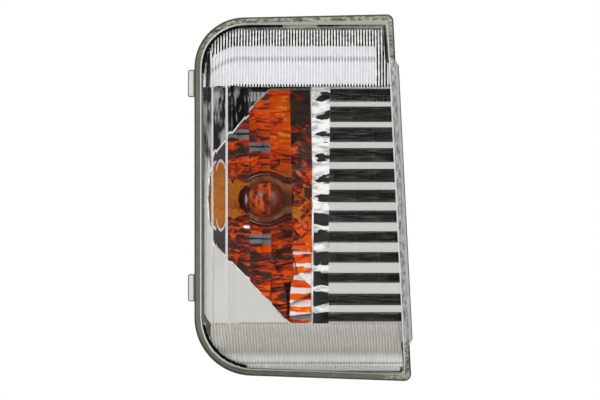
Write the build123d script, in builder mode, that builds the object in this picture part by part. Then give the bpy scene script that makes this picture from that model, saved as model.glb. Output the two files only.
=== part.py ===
from build123d import *
from math import cos, radians, sin, sqrt, tan
import os

# Vehicle indicator lamp for a door mirror, in millimetres.
# X runs to the right and Z upwards as the lamp is seen from the front, and the front faces -Y.
# The origin is on the bulb's axis, in the plane of the seat behind the rim.
# Levels are heights in front of that seat plane, so what lies behind it is below zero.

# Rim outline, from the bulb's axis to each side
rim_left = 31.7
rim_right_top = 55.2
rim_right_bottom = 63.2
rim_top_left = 78.9
rim_top_right = 80.8
rim_bottom_left = 76.4
rim_bottom_right = 79.7
radius_top_left = 22.0
radius_bottom_left = 25.5
radius_right = 3.0
least_radius = 0.8

# Lens
lens_front = 22.0
lens_wall = 1.8
lens_flange = 2.0
rim_band = 2.7
band_start_top = 48.7
band_start_bottom = 54.0
band_radius_top = 31.0
band_radius_bottom = 23.0
side_round = 20.0
side_round_x = -12.0
wrap_top = 62.0
wrap_bottom = 65.0
wrap_out = 1.5
wrap_slope = 3.5
wrap_draft = 2.0
wrap_clearance = 0.1
tongue_width = 1.2
tongue_inset = 2.1
tab_height = 12.0
tab_reach = 2.8
tab_root = 3.0
tab_radius = 1.0
tab_upper_z = 50.5
tab_lower_z = -38.8

# Prism strips inside the window
strip_count = 8
strip_start_x = -16.7
strip_middle_x = -22.8
strip_end_x = -27.0
strip_bulge = 0.1
strip_rise = 0.25
strip_return = 1.5
strip_relief = 0.35

# Fine upright flutes inside the top and bottom bands
flute_pitch = 1.27
flute_width = 0.64
flute_depth = 0.35
flute_left_inset = 8.0
flute_right_inset = 5.2
flute_edge_gap = 0.5
flute_base_gap = 0.6

# Housing
flange_thickness = 3.4
groove_width = 2.2
groove_depth = 2.2
bead_thickness = 0.7
tub_side_inset = 5.5
tub_top_inset = 12.0
tub_bottom_inset = 19.5
tub_depth = 24.0
tub_radius = 12.0
tub_edge_radius = 2.0
housing_wall = 2.2
shelf_thickness = 2.0
rib_height = 2.6
rib_thickness = 1.6
rib_count = 3
rib_spacing = 12.0
rib_start = 19.0
rib_length = 30.0

# Screw bosses behind the rim
boss_radius = 4.2
boss_length = 14.0
boss_bore_radius = 1.7
boss_bore_depth = 12.0
boss_upper_x = 42.0
boss_lower_x = 50.0
boss_edge_distance = 6.6

# Vent
vent_x = 36.0
vent_z = 36.0
vent_radius = 4.0
vent_bore_radius = 2.0
vent_length = 7.0
vent_cap_wall = 1.4
vent_cap_clearance = 0.05
vent_cap_gap = 0.8

# Reflector
panel_level = 12.0
panel_bend = 6.0
panel_bend_start = 4.0
reflector_wall = 1.8
reflector_lens_gap = 1.0
reflector_left_inset = 5.5
reflector_top_inset = 5.6
reflector_right_inset = 5.2
reflector_bottom_inset = 20.2
reflector_corner_radius = 8.0
band_panel_level = 10.0
band_panel_top = 66.2
band_panel_arc_x = -3.0
band_panel_arc_radius = 33.3
band_bevel_angle = 45.0

# Bowl round the bulb
bowl_floor = -13.0
bowl_rim = 8.0
bowl_edge = 1.2
bowl_right = 19.5
bowl_top = 47.8
bowl_bottom = 54.2
bowl_corner_x = -21.5
bowl_corner_z = 20.5
bowl_top_x = 0.4
bowl_bottom_x = 10.1
bowl_floor_half = 12.0
bowl_hole_radius = 11.6
bowl_steps = 4

# Louvres beside the bowl
louvre_bars = 11
louvre_pitch = 8.9
louvre_top_z = 41.3
louvre_bar_top = 2.0
louvre_bar_growth = 0.3
louvre_last_bar = 2.9
louvre_end_land = 0.6
louvre_tilt = 25.0
louvre_back = 1.6
louvre_start_x = 27.0
louvre_run_out = 4.6
louvre_right_inset = 3.3

# Reflector posts and their screws
post_radius = 3.0
post_bore_radius = 1.1
post_bore_depth = 9.0
post_places = [(36.0, 55.0), (46.0, -46.0), (-17.5, -44.0)]
screw_radius = 1.05
screw_length = 9.5
screw_head_radius = 2.9
screw_head_height = 2.0
screw_hole_radius = 1.5
screw_pad = 0.9
screw_slot_width = 0.9
screw_slot_depth = 0.9

# Bulb
bulb_radius = 7.65
bulb_glass_wall = 0.7
bulb_shoulder = 1.5
bulb_neck = -12.5
bulb_neck_radius = 4.4
bulb_foot = -18.0
pinch_bottom = -26.5
pinch_width = 9.5
pinch_thickness = 2.4
filament_level = -1.0
filament_length = 5.0
filament_radius = 0.45
lead_radius = 0.25

# Bulb holder
keyhole_radius = 11.6
neck_clearance = 0.3
lug_count = 3
lug_start = 90.0
lug_reach = 2.6
lug_angle = 22.0
lug_thickness = 1.9
lug_clearance = 0.12
notch_clearance = 0.5
notch_extra_angle = 6.0
lock_angle = 45.0
barrel_top = -16.5
barrel_bore_radius = 8.3
barrel_floor = -19.6
seal_thickness = 1.6
seal_outer_radius = 16.0
seal_clearance = 0.12
seal_fit = 0.1
holder_flange_radius = 17.0
holder_flange_thickness = 2.2
shroud_width = 19.2
shroud_height = 11.2
shroud_wall = 1.6
shroud_length = 15.5
shroud_floor = 2.4
shroud_radius = 1.2
grip_reach = 15.5
grip_thickness = 2.4
grip_length = 9.0

# Contacts
blade_width = 2.8
blade_thickness = 0.8
blade_spacing = 10.0
blade_length = 8.4
leaf_width = 2.4
leaf_thickness = 0.5
leaf_spacing = 5.4
contact_clearance = 0.05
contact_foot_gap = 0.3
leaf_top_gap = 0.3

os.makedirs("parts", exist_ok=True)

lens_base = flange_thickness
lens_rim_level = flange_thickness + lens_flange
lens_inset = rim_band + lens_wall
back_wall = -tub_depth
back_inside = back_wall + housing_wall
groove_floor = flange_thickness - groove_depth
groove_inset = tongue_inset + (tongue_width - groove_width) / 2
neck_radius = keyhole_radius - neck_clearance
lug_radius = neck_radius + lug_reach
seal_level = back_wall - seal_clearance
holder_flange_level = seal_level - seal_thickness
shroud_base = holder_flange_level - holder_flange_thickness
bowl_left = rim_left - reflector_left_inset - bowl_edge
far = 120.0


def level(height):
    """Plane parallel to the seat at a height in front of it, with X to the right and Z up."""
    return Plane.XZ.offset(height)


def crossing(first, first_way, second, second_way):
    """Point where two lines meet, each given by a point and a direction in the outline's plane."""
    turn = first_way.X * second_way.Y - first_way.Y * second_way.X
    gap = second - first
    share = (gap.X * second_way.Y - gap.Y * second_way.X) / turn
    return first + first_way * share


def rim_corners(left, top, right, bottom):
    """Sharp corners of the rim with each side moved inwards: top left, then clockwise."""
    rim = [
        Vector(-rim_left, rim_top_left),
        Vector(rim_right_top, rim_top_right),
        Vector(rim_right_bottom, -rim_bottom_right),
        Vector(-rim_left, -rim_bottom_left),
    ]
    sides = []
    for index, inset in enumerate([top, right, bottom, left]):
        way = (rim[(index + 1) % 4] - rim[index]).normalized()
        inwards = Vector(way.Y, -way.X)
        sides.append((rim[index] + inwards * inset, way))
    return [crossing(*sides[index - 1], *sides[index]) for index in range(4)]


def rim_edge_x(z):
    """Where the rim's leaning right edge stands at a height."""
    share = (rim_top_right - z) / (rim_top_right + rim_bottom_right)
    return rim_right_top + share * (rim_right_bottom - rim_right_top)


def rim_edge_z(x, inset):
    """Heights of the lines that run at one distance inside the rim's top and bottom edges."""
    top_left, top_right, bottom_right, bottom_left = rim_corners(0, inset, 0, inset)
    top_share = (x - top_left.X) / (top_right.X - top_left.X)
    bottom_share = (x - bottom_left.X) / (bottom_right.X - bottom_left.X)
    high = top_left.Y + top_share * (top_right.Y - top_left.Y)
    low = bottom_left.Y + bottom_share * (bottom_right.Y - bottom_left.Y)
    return high, low


def rim_face(plane, left, top=None, right=None, bottom=None, left_radii=None):
    """Face bounded by the rim's outline, moved inwards evenly or side by side."""
    top = left if top is None else top
    right = left if right is None else right
    bottom = left if bottom is None else bottom
    right_radius = max(radius_right - right, least_radius)
    if left_radii is None:
        left_radii = [radius_top_left - left, radius_bottom_left - left]
    top_radius, bottom_radius = [max(radius, least_radius) for radius in left_radii]
    with BuildSketch(plane) as face:
        with BuildLine():
            FilletPolyline(
                *rim_corners(left, top, right, bottom),
                radius=[top_radius, right_radius, right_radius, bottom_radius],
                close=True,
            )
        make_face()
    return face.sketch


def rim_ring(plane, width, inset):
    """Ring that follows the rim, such as the groove or the tongue that stands in it."""
    with BuildSketch(plane) as ring:
        add(rim_face(plane, inset))
        add(rim_face(plane, inset + width), mode=Mode.SUBTRACT)
    return ring.sketch


def tub_face(plane, inset):
    """Outline of the housing's deep tub, moved inwards."""
    return rim_face(
        plane,
        tub_side_inset + inset,
        tub_top_inset + inset,
        tub_side_inset + inset,
        tub_bottom_inset + inset,
        [tub_radius - inset, tub_radius - inset],
    )


def ring_sectors(plane, radius, start, spread):
    """Pie slices at even turns, which make the lugs of the twist lock and their notches."""
    half = spread / 2
    reach = radius / cos(radians(half))
    with BuildSketch(plane) as slices:
        Circle(radius)
        with BuildSketch(mode=Mode.PRIVATE) as wedge:
            with BuildLine():
                Polyline(
                    (0, 0),
                    (reach * cos(radians(half)), -reach * sin(radians(half))),
                    (reach * cos(radians(half)), reach * sin(radians(half))),
                    close=True,
                )
            make_face()
        with BuildSketch(mode=Mode.PRIVATE) as wedges:
            with PolarLocations(0, lug_count, start_angle=start):
                add(wedge.sketch)
        add(wedges.sketch, mode=Mode.INTERSECT)
    return slices.sketch


def right_wall_plane(inset):
    """Plane of the lens's drafted right side, moved inwards, with its normal to the right."""
    down = Vector(rim_edge_x(-1) - rim_edge_x(0), 0, -1).normalized()
    forwards = Vector(-wrap_draft, -lens_front, 0).normalized()
    outwards = down.cross(forwards).normalized()
    outwards = outwards if outwards.X > 0 else outwards * -1
    return Plane(origin=(rim_edge_x(0) + wrap_out - inset, 0, 0), x_dir=down, z_dir=outwards)


def wrap_face(plane, inset):
    """Outline of the lens's right side, where it stands out past the rim between two slopes."""
    root = rim_band + inset
    inner = root + wrap_slope

    def place(z, out):
        return (rim_edge_x(z) + out, z)

    high = wrap_top - inset
    low = -wrap_bottom + inset
    with BuildSketch(plane) as face:
        with BuildLine():
            Polyline(
                place(high, -inner),
                place(high, -root),
                place(high - wrap_slope, wrap_out - inset),
                place(low + wrap_slope, wrap_out - inset),
                place(low, -root),
                place(low, -inner),
                close=True,
            )
        make_face()
    return face.sketch


def side_profile(skin):
    """Section of the lens from the side: a flat front that curves back at the top and bottom."""
    front = lens_front - skin
    top_radius = band_radius_top - skin
    bottom_radius = band_radius_bottom - skin
    with BuildSketch(Plane.YZ.offset(-far)) as face:
        with BuildLine():
            high = CenterArc((-front + top_radius, band_start_top), top_radius, 90, 90)
            low = CenterArc((-front + bottom_radius, -band_start_bottom), bottom_radius, 180, 90)
            Line(high @ 1, low @ 0)
            Polyline(high @ 0, (far, (high @ 0).Y), (far, (low @ 1).Y), low @ 1)
        make_face()
    return face.sketch


def plan_profile(skin):
    """Section of the lens from above: a flat front that rounds back on the left."""
    front = lens_front - skin
    radius = side_round - skin
    with BuildSketch(Plane.XY.offset(-far)) as face:
        with BuildLine():
            turn = CenterArc((side_round_x, -front + radius), radius, 180, 90)
            Polyline(turn @ 1, (far, -front), (far, far), (side_round_x - radius, far), turn @ 0)
        make_face()
    return face.sketch


def lens_form(skin, base):
    """Solid form of the lens's body from base to its front, with every wall moved inwards by skin."""
    with BuildPart() as form:
        extrude(rim_face(level(base), rim_band + skin), amount=lens_front - base)
        extrude(wrap_face(level(base), skin), amount=lens_front - base)
        extrude(side_profile(skin), amount=2 * far, mode=Mode.INTERSECT)
        extrude(plan_profile(skin), amount=2 * far, mode=Mode.INTERSECT)
        split(bisect_by=right_wall_plane(skin), keep=Keep.BOTTOM)
    return form.part


def window_strips(z):
    """Section of the window's recess at a height: each prism strip climbs, then drops back."""
    front = lens_front - lens_wall
    radius = side_round - lens_wall
    turn_level = lens_front - side_round
    right = rim_edge_x(z) + wrap_out - wrap_draft * front / lens_front - lens_wall
    pitch = (right - strip_start_x) / strip_count
    points = []
    for x in (strip_end_x, strip_middle_x, strip_start_x):
        points.append(Vector(x, -turn_level - sqrt(radius**2 - (x - side_round_x) ** 2)))
    for index in range(strip_count):
        points.append(Vector(strip_start_x + pitch * (index + 1), -front))
    with BuildSketch(Plane.XY.offset(z)) as face:
        with BuildLine():
            for start, end in zip(points, points[1:]):
                along = (end - start).normalized()
                inwards = Vector(-along.Y, along.X)
                crest = end - along * strip_return + inwards * strip_rise
                SagittaArc(start, crest, strip_bulge)
                Line(crest, end)
            Polyline(
                points[-1],
                (points[-1].X, -lens_rim_level),
                (points[0].X, -lens_rim_level),
                points[0],
            )
        make_face()
    return face.sketch


def boss_places():
    """Centres of the two screw bosses, at one distance from the rim's top and bottom edges."""
    upper = (boss_upper_x, rim_edge_z(boss_upper_x, boss_edge_distance)[0])
    lower = (boss_lower_x, rim_edge_z(boss_lower_x, boss_edge_distance)[1])
    return [upper, lower]


def band_panel_form(skin, base):
    """Solid under the upper panel: its edge runs level, then in a wide arc down to the left."""
    top = band_panel_top - skin
    radius = band_panel_arc_radius - skin
    front = panel_level - skin
    with BuildSketch(level(band_panel_level - skin)) as face:
        with BuildLine():
            turn = CenterArc((band_panel_arc_x, top - radius), radius, 90, 80)
            Polyline(turn @ 0, (far, top), (far, -far), ((turn @ 1).X, -far), turn @ 1)
        make_face()
    with BuildPart() as form:
        extrude(face.sketch, amount=base - band_panel_level + skin, taper=-band_bevel_angle)
        extrude(face.sketch, amount=front - band_panel_level + skin)
    return form.part


def reflector_form(skin, base):
    """Solid form of the reflector's skirt and panels, with every wall moved inwards by skin."""
    front = panel_level - skin
    with BuildPart() as form:
        outline = rim_face(
            level(base),
            reflector_left_inset + skin,
            reflector_top_inset + skin,
            reflector_right_inset + skin,
            reflector_bottom_inset + skin,
            [radius_top_left - reflector_left_inset - skin, reflector_corner_radius - skin],
        )
        extrude(outline, amount=front - base)
        extrude(
            plan_profile(lens_wall + strip_relief + reflector_lens_gap + skin),
            amount=2 * far,
            mode=Mode.INTERSECT,
        )
        add(band_panel_form(skin, base), mode=Mode.INTERSECT)
        with BuildSketch(Plane.YZ.offset(-far)):
            with Locations((-front, band_start_top)):
                Rectangle(
                    2 * (panel_level - band_panel_level), far, align=(Align.CENTER, Align.MIN)
                )
        extrude(amount=2 * far, mode=Mode.SUBTRACT)
        with BuildSketch(Plane.YZ.offset(-far)):
            with BuildLine():
                bend = (-front + panel_bend, band_start_top)
                ThreePointArc(
                    (-front, panel_bend_start),
                    (-front + panel_bend / 4, (panel_bend_start + band_start_top) / 2),
                    bend,
                )
                Polyline(bend, (-front, band_start_top), (-front, panel_bend_start))
            make_face()
        extrude(amount=far + bowl_right, mode=Mode.SUBTRACT)
    return form.part


def bowl_section(height, skin):
    """D-shaped section of the bowl, which grows with height as a parabola does."""
    floor = bowl_floor - skin
    share = (height - floor) / (bowl_rim - floor)

    def grown(size):
        least = bowl_floor_half + skin
        return sqrt(least**2 + share * ((size + skin) ** 2 - least**2))

    left = grown(bowl_left)
    top = grown(bowl_top)
    bottom = grown(bowl_bottom)
    right = grown(bowl_right)
    corner_x = bowl_corner_x / bowl_left * left
    upper_corner = (corner_x, bowl_corner_z / bowl_top * top)
    lower_corner = (corner_x, -bowl_corner_z / bowl_bottom * bottom)
    with BuildSketch(level(height)) as face:
        with BuildLine():
            ThreePointArc(lower_corner, (-left, 0), upper_corner)
            Polyline(
                upper_corner,
                (bowl_top_x / bowl_right * right, top),
                (right, top),
                (right, -bottom),
                (bowl_bottom_x / bowl_right * right, -bottom),
                lower_corner,
            )
        make_face()
    return face.sketch


def bowl_form(skin):
    """Solid form of the bowl: a stepped loft from its floor to its rim, then straight forwards."""
    floor = bowl_floor - skin
    with BuildPart() as form:
        for index in range(bowl_steps + 1):
            share = (index / bowl_steps) ** 2
            add(bowl_section(floor + share * (bowl_rim - floor), skin))
        loft(ruled=True)
        extrude(bowl_section(bowl_rim, skin), amount=panel_level - bowl_rim)
    return form.part


def bar_thickness(index):
    """Thickness of one louvre bar, which grows downwards up to the slimmer last one."""
    if index == louvre_bars - 1:
        return louvre_last_bar
    return louvre_bar_top + louvre_bar_growth * index


def bar_z(index):
    """Middle of one louvre bar."""
    return louvre_top_z - louvre_pitch * index


def louvre_gaps():
    """Upper and lower edges of the troughs between the louvre bars, from the top down."""
    edges = [(band_start_top - louvre_end_land, bar_z(0) + bar_thickness(0) / 2)]
    for index in range(louvre_bars - 1):
        upper = bar_z(index) - bar_thickness(index) / 2
        lower = bar_z(index + 1) + bar_thickness(index + 1) / 2
        edges.append((upper, lower))
    last = louvre_bars - 1
    edges.append((bar_z(last) - bar_thickness(last) / 2, -band_start_bottom + louvre_end_land))
    return edges


def flute_rows():
    """Middle, height and count of the flutes of each band: the upper row, then the lower one."""
    left = -rim_left + flute_left_inset
    rows = []
    for right, start, end in (
        (rim_right_top - flute_right_inset, band_start_top, rim_top_right),
        (rim_right_bottom - flute_right_inset, -band_start_bottom, -rim_bottom_right),
    ):
        start += flute_edge_gap if end > start else -flute_edge_gap
        middle = ((left + right) / 2, (start + end) / 2)
        rows.append((middle, abs(end - start), int((right - left) / flute_pitch)))
    return rows


def bulb_form(skin):
    """Turned form of the bulb's envelope, moved inwards by skin."""
    radius = bulb_radius - skin
    neck = bulb_neck_radius - skin
    foot = bulb_foot + 2 * skin
    with BuildPart() as form:
        with BuildSketch(Plane.XY):
            with BuildLine():
                dome = CenterArc((0, -bulb_shoulder), radius, 270, 90)
                side = Line(dome @ 1, (radius, -bulb_neck))
                taper = TangentArc(side @ 1, (neck, -foot), tangent=(0, 1))
                Polyline(taper @ 1, (0, -foot), dome @ 0)
            make_face()
        revolve(axis=Axis.Y)
    return form.part


def contact_form(side, grow):
    """One contact: a leaf beside the bulb's base, a foot under it and a blade, grown for its pocket."""
    foot_top = pinch_bottom - contact_foot_gap
    leaf_z = pinch_thickness / 2 + contact_clearance + leaf_thickness / 2
    leaf_outer = leaf_z + leaf_thickness / 2
    foot_inner_x = (leaf_spacing - leaf_width) / 2
    foot_outer_x = (blade_spacing + blade_width) / 2
    foot_x = side * (foot_inner_x + foot_outer_x) / 2
    foot_z = -side * (leaf_outer - blade_thickness / 2) / 2
    tip = shroud_base - shroud_floor - blade_length
    with BuildPart() as form:
        with BuildSketch(level(foot_top - blade_thickness - grow)):
            with Locations((foot_x, foot_z)):
                Rectangle(
                    foot_outer_x - foot_inner_x + 2 * grow,
                    leaf_outer + blade_thickness / 2 + 2 * grow,
                )
        extrude(amount=blade_thickness + 2 * grow)
        with BuildSketch(level(foot_top)):
            with Locations((side * leaf_spacing / 2, -side * leaf_z)):
                Rectangle(leaf_width + 2 * grow, leaf_thickness + 2 * grow)
        extrude(amount=barrel_floor - leaf_top_gap - foot_top + grow)
        with BuildSketch(level(foot_top)):
            with Locations((side * blade_spacing / 2, 0)):
                Rectangle(blade_width + 2 * grow, blade_thickness + 2 * grow)
        extrude(amount=tip - foot_top - grow)
    return form.part


# Outer lens: clear moulding with its rim flange, tongue, window strips and two hook tabs
lens_cavity = lens_form(lens_wall + strip_relief, 0)
lens_body = lens_form(0, lens_base)
with BuildPart() as window_recess:
    add(window_strips(-band_start_bottom))
    add(window_strips(band_start_top))
    loft(ruled=True)
with BuildPart() as flutes:
    with BuildSketch(level(lens_rim_level + flute_base_gap)):
        for flute_middle, flute_height, flute_count in flute_rows():
            with Locations(flute_middle):
                with GridLocations(flute_pitch, 0, flute_count, 1):
                    Rectangle(flute_width, flute_height)
    extrude(amount=lens_front)
    add(lens_form(lens_wall + strip_relief - flute_depth, lens_base), mode=Mode.INTERSECT)
with BuildPart() as outer_lens:
    extrude(wrap_face(level(0), 0), amount=lens_rim_level)
    split(bisect_by=right_wall_plane(0), keep=Keep.BOTTOM)
    extrude(rim_face(level(0), -wrap_clearance), amount=lens_base, mode=Mode.SUBTRACT)
    add(lens_body)
    extrude(rim_face(level(lens_base), 0), amount=lens_flange)
    with BuildSketch(level(lens_base)):
        for tab_z in (tab_upper_z, tab_lower_z):
            with Locations((-rim_left + (tab_root - tab_reach) / 2, tab_z)):
                RectangleRounded(tab_root + tab_reach, tab_height, tab_radius)
    extrude(amount=lens_flange)
    add(lens_cavity, mode=Mode.SUBTRACT)
    add(window_recess.part, mode=Mode.SUBTRACT)
    add(flutes.part, mode=Mode.SUBTRACT)
    extrude(
        rim_ring(level(groove_floor + bead_thickness), tongue_width, tongue_inset),
        amount=groove_depth - bead_thickness,
    )
outer_lens.part.label = "outer_lens"
export_step(outer_lens.part, "parts/outer_lens.step")

# Sealing bead in the housing's groove, under the lens's tongue
with BuildPart() as sealing_bead:
    extrude(rim_ring(level(groove_floor), groove_width, groove_inset), amount=bead_thickness)
sealing_bead.part.label = "sealing_bead"
export_step(sealing_bead.part, "parts/sealing_bead.step")

# Rear housing: rim with its groove, shelf, deep tub, bosses, keyhole, vent spigot and ribs
with BuildPart() as rear_housing:
    extrude(rim_face(level(0), 0), amount=flange_thickness)
    extrude(rim_face(level(shelf_thickness), lens_inset), amount=lens_front, mode=Mode.SUBTRACT)
    groove = rim_ring(level(groove_floor), groove_width, groove_inset)
    extrude(groove, amount=groove_depth, mode=Mode.SUBTRACT)
    extrude(tub_face(level(0), 0), amount=-tub_depth)
    fillet(rear_housing.faces().sort_by(Axis.Y)[-1].edges(), tub_edge_radius)
    extrude(tub_face(level(back_inside), housing_wall), amount=far, mode=Mode.SUBTRACT)
    with BuildSketch(level(0)):
        with Locations(*boss_places()):
            Circle(boss_radius)
    extrude(amount=-boss_length)
    with BuildSketch(level(back_wall)):
        with Locations(*post_places):
            Circle(screw_head_radius + screw_pad)
    extrude(amount=-screw_pad)
    with BuildSketch(level(back_wall)):
        with Locations((vent_x, vent_z)):
            Circle(vent_radius)
    extrude(amount=-vent_length)
    with BuildSketch(level(back_wall)):
        with GridLocations(rib_spacing, 2 * rib_start + rib_length, rib_count, 2):
            Rectangle(rib_thickness, rib_length)
    extrude(amount=-rib_height)
    with BuildSketch(level(-boss_length)):
        with Locations(*boss_places()):
            Circle(boss_bore_radius)
    extrude(amount=boss_bore_depth, mode=Mode.SUBTRACT)
    with BuildSketch(level(back_inside)):
        with Locations((vent_x, vent_z)):
            Circle(vent_bore_radius)
    extrude(amount=-vent_length - housing_wall, mode=Mode.SUBTRACT)
    with BuildSketch(level(back_inside)):
        with Locations(*post_places):
            Circle(screw_hole_radius)
        Circle(keyhole_radius)
        add(
            ring_sectors(
                level(back_inside),
                lug_radius + notch_clearance,
                lug_start - lock_angle,
                lug_angle + notch_extra_angle,
            )
        )
    extrude(amount=-housing_wall - screw_pad, mode=Mode.SUBTRACT)
rear_housing.part.label = "rear_housing"
export_step(rear_housing.part, "parts/rear_housing.step")

# Vent cap: a rubber cap pushed over the spigot
cap_level = back_wall - vent_cap_gap
spigot_end = back_wall - vent_length
with BuildPart() as vent_cap:
    with BuildSketch(level(cap_level)):
        with Locations((vent_x, vent_z)):
            Circle(vent_radius + vent_cap_clearance + vent_cap_wall)
    extrude(amount=spigot_end - vent_cap_wall - cap_level)
    with BuildSketch(level(cap_level)):
        with Locations((vent_x, vent_z)):
            Circle(vent_radius + vent_cap_clearance)
    extrude(amount=spigot_end - cap_level, mode=Mode.SUBTRACT)
    fillet(vent_cap.faces().sort_by(Axis.Y)[-1].edges(), vent_cap_wall / 2)
vent_cap.part.label = "vent_cap"
export_step(vent_cap.part, "parts/vent_cap.step")

# Reflector: one metallised moulding with its skirt, panels, bowl, louvres and posts
bowl_outside = bowl_form(reflector_wall)
bowl_inside = bowl_form(0)
reflector_outside = reflector_form(0, shelf_thickness)
reflector_inside = reflector_form(reflector_wall, shelf_thickness - reflector_wall)
reflector_room = reflector_form(0, back_inside)
louvre_slope = tan(radians(louvre_tilt))
louvre_depth = (louvre_pitch - louvre_bar_top) / 2 * louvre_slope
louvre_base = panel_level - louvre_depth - louvre_back
with BuildPart() as troughs:
    for high, low in louvre_gaps():
        middle = (high + low) / 2
        with BuildSketch(Plane.YZ.offset(louvre_start_x), mode=Mode.PRIVATE) as trough:
            with BuildLine():
                bottom = (louvre_slope * (high - low) / 2 - panel_level, middle)
                Polyline((-panel_level, low), bottom, (-panel_level, high), close=True)
            make_face()
        extrude(trough.sketch, amount=far)
        loft([trough.sketch, Vertex(louvre_start_x - louvre_run_out, -panel_level, middle)])
with BuildPart() as reflector_core:
    add(bowl_outside)
    with BuildSketch(level(back_inside)):
        with Locations(*post_places):
            Circle(post_radius)
    extrude(amount=panel_level - back_inside)
    add(reflector_room, mode=Mode.INTERSECT)
with BuildPart() as reflector:
    add(reflector_outside)
    add(reflector_inside, mode=Mode.SUBTRACT)
    add(reflector_core.part)
    with BuildSketch(level(louvre_base)):
        with BuildLine():
            Polyline(
                (bowl_right, band_start_top),
                (rim_edge_x(band_start_top) - louvre_right_inset, band_start_top),
                (rim_edge_x(-band_start_bottom) - louvre_right_inset, -band_start_bottom),
                (bowl_right, -band_start_bottom),
                close=True,
            )
        make_face()
    extrude(amount=panel_level - louvre_base)
    add(bowl_inside, mode=Mode.SUBTRACT)
    with BuildSketch(level(bowl_floor - 2 * reflector_wall)):
        Circle(bowl_hole_radius)
    extrude(amount=3 * reflector_wall, mode=Mode.SUBTRACT)
    add(troughs.part, mode=Mode.SUBTRACT)
    with BuildSketch(level(back_inside)):
        with Locations(*post_places):
            Circle(post_bore_radius)
    extrude(amount=post_bore_depth, mode=Mode.SUBTRACT)
reflector.part.label = "reflector"
export_step(reflector.part, "parts/reflector.step")

# Reflector screws: three self-tapping screws through the back wall into the posts
screw_level = back_wall - screw_pad
with BuildPart() as reflector_screws:
    with BuildSketch(level(screw_level)):
        with Locations(*post_places):
            Circle(screw_head_radius)
    extrude(amount=-screw_head_height)
    head_faces = reflector_screws.faces().sort_by(Axis.Y)[-len(post_places):]
    fillet(head_faces.edges(), screw_head_height / 2)
    with BuildSketch(level(screw_level)):
        with Locations(*post_places):
            Circle(screw_radius)
    extrude(amount=screw_length)
    with BuildSketch(level(screw_level - screw_head_height)):
        with Locations(*post_places):
            Rectangle(2 * screw_radius + screw_slot_width, screw_slot_width)
            Rectangle(screw_slot_width, 2 * screw_radius + screw_slot_width)
    extrude(amount=screw_slot_depth, mode=Mode.SUBTRACT)
reflector_screws.part.label = "reflector_screws"
export_step(reflector_screws.part, "parts/reflector_screws.step")

# Bulb glass: a hollow amber envelope that narrows to its flat wedge base
with BuildPart() as bulb_glass:
    add(bulb_form(0))
    with BuildSketch(level(pinch_bottom)):
        Rectangle(pinch_width, pinch_thickness)
    extrude(amount=bulb_foot + bulb_glass_wall - pinch_bottom)
    add(bulb_form(bulb_glass_wall), mode=Mode.SUBTRACT)
bulb_glass.part.label = "bulb_glass"
export_step(bulb_glass.part, "parts/bulb_glass.step")

# Filament between its two lead wires, which stand on the glass inside the neck
lead_x = filament_length / 2 + lead_radius
lead_foot = bulb_foot + 2 * bulb_glass_wall
with BuildPart() as bulb_filament:
    with Locations((0, -filament_level, 0)):
        Cylinder(filament_radius, filament_length, rotation=(0, 90, 0))
bulb_filament.part.label = "bulb_filament"
export_step(bulb_filament.part, "parts/bulb_filament.step")

with BuildPart() as bulb_lead_wires:
    with BuildSketch(level(lead_foot)):
        with Locations((-lead_x, 0), (lead_x, 0)):
            Circle(lead_radius)
    extrude(amount=filament_level + filament_radius - lead_foot)
bulb_lead_wires.part.label = "bulb_lead_wires"
export_step(bulb_lead_wires.part, "parts/bulb_lead_wires.step")

# Bulb holder: barrel with its twist lugs, flange, grip wings and connector shroud
left_pocket = contact_form(-1, contact_clearance)
right_pocket = contact_form(1, contact_clearance)
with BuildPart() as bulb_holder:
    with BuildSketch(level(holder_flange_level)):
        Circle(neck_radius)
    extrude(amount=barrel_top - holder_flange_level)
    extrude(
        ring_sectors(level(back_inside + lug_clearance), lug_radius, lug_start, lug_angle),
        amount=lug_thickness,
    )
    with BuildSketch(level(holder_flange_level)):
        Circle(holder_flange_radius)
    extrude(amount=-holder_flange_thickness)
    with BuildSketch(level(shroud_base)):
        RectangleRounded(shroud_width, shroud_height, shroud_radius)
    extrude(amount=-shroud_length)
    with BuildSketch(level(shroud_base)):
        RectangleRounded(2 * grip_reach, grip_thickness, grip_thickness / 3)
    extrude(amount=-grip_length)
    with BuildSketch(level(shroud_base - shroud_floor)):
        RectangleRounded(
            shroud_width - 2 * shroud_wall, shroud_height - 2 * shroud_wall, shroud_radius / 2
        )
    extrude(amount=shroud_floor - shroud_length, mode=Mode.SUBTRACT)
    with BuildSketch(level(barrel_floor)):
        Circle(barrel_bore_radius)
    extrude(amount=barrel_top - barrel_floor, mode=Mode.SUBTRACT)
    with BuildSketch(level(barrel_floor)):
        Rectangle(pinch_width + 2 * contact_clearance, pinch_thickness + 2 * contact_clearance)
    extrude(amount=pinch_bottom - barrel_floor, mode=Mode.SUBTRACT)
    add(left_pocket, mode=Mode.SUBTRACT)
    add(right_pocket, mode=Mode.SUBTRACT)
bulb_holder.part.label = "bulb_holder"
export_step(bulb_holder.part, "parts/bulb_holder.step")

# Holder seal: a flat rubber ring between the holder's flange and the back wall
with BuildPart() as holder_seal:
    with BuildSketch(level(holder_flange_level)):
        Circle(seal_outer_radius)
        Circle(neck_radius + seal_fit, mode=Mode.SUBTRACT)
    extrude(amount=seal_thickness)
holder_seal.part.label = "holder_seal"
export_step(holder_seal.part, "parts/holder_seal.step")

# Brass contacts, one on each flat side of the bulb's base
for side, contact_name in ((-1, "holder_contact_left"), (1, "holder_contact_right")):
    contact = contact_form(side, 0)
    contact.label = contact_name
    export_step(contact, f"parts/{contact_name}.step")
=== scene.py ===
from functools import partial
from math import cos, pi, radians, sin, tau
from random import Random

import bmesh
import bpy
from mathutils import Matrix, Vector
from mathutils.bvhtree import BVHTree


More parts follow.
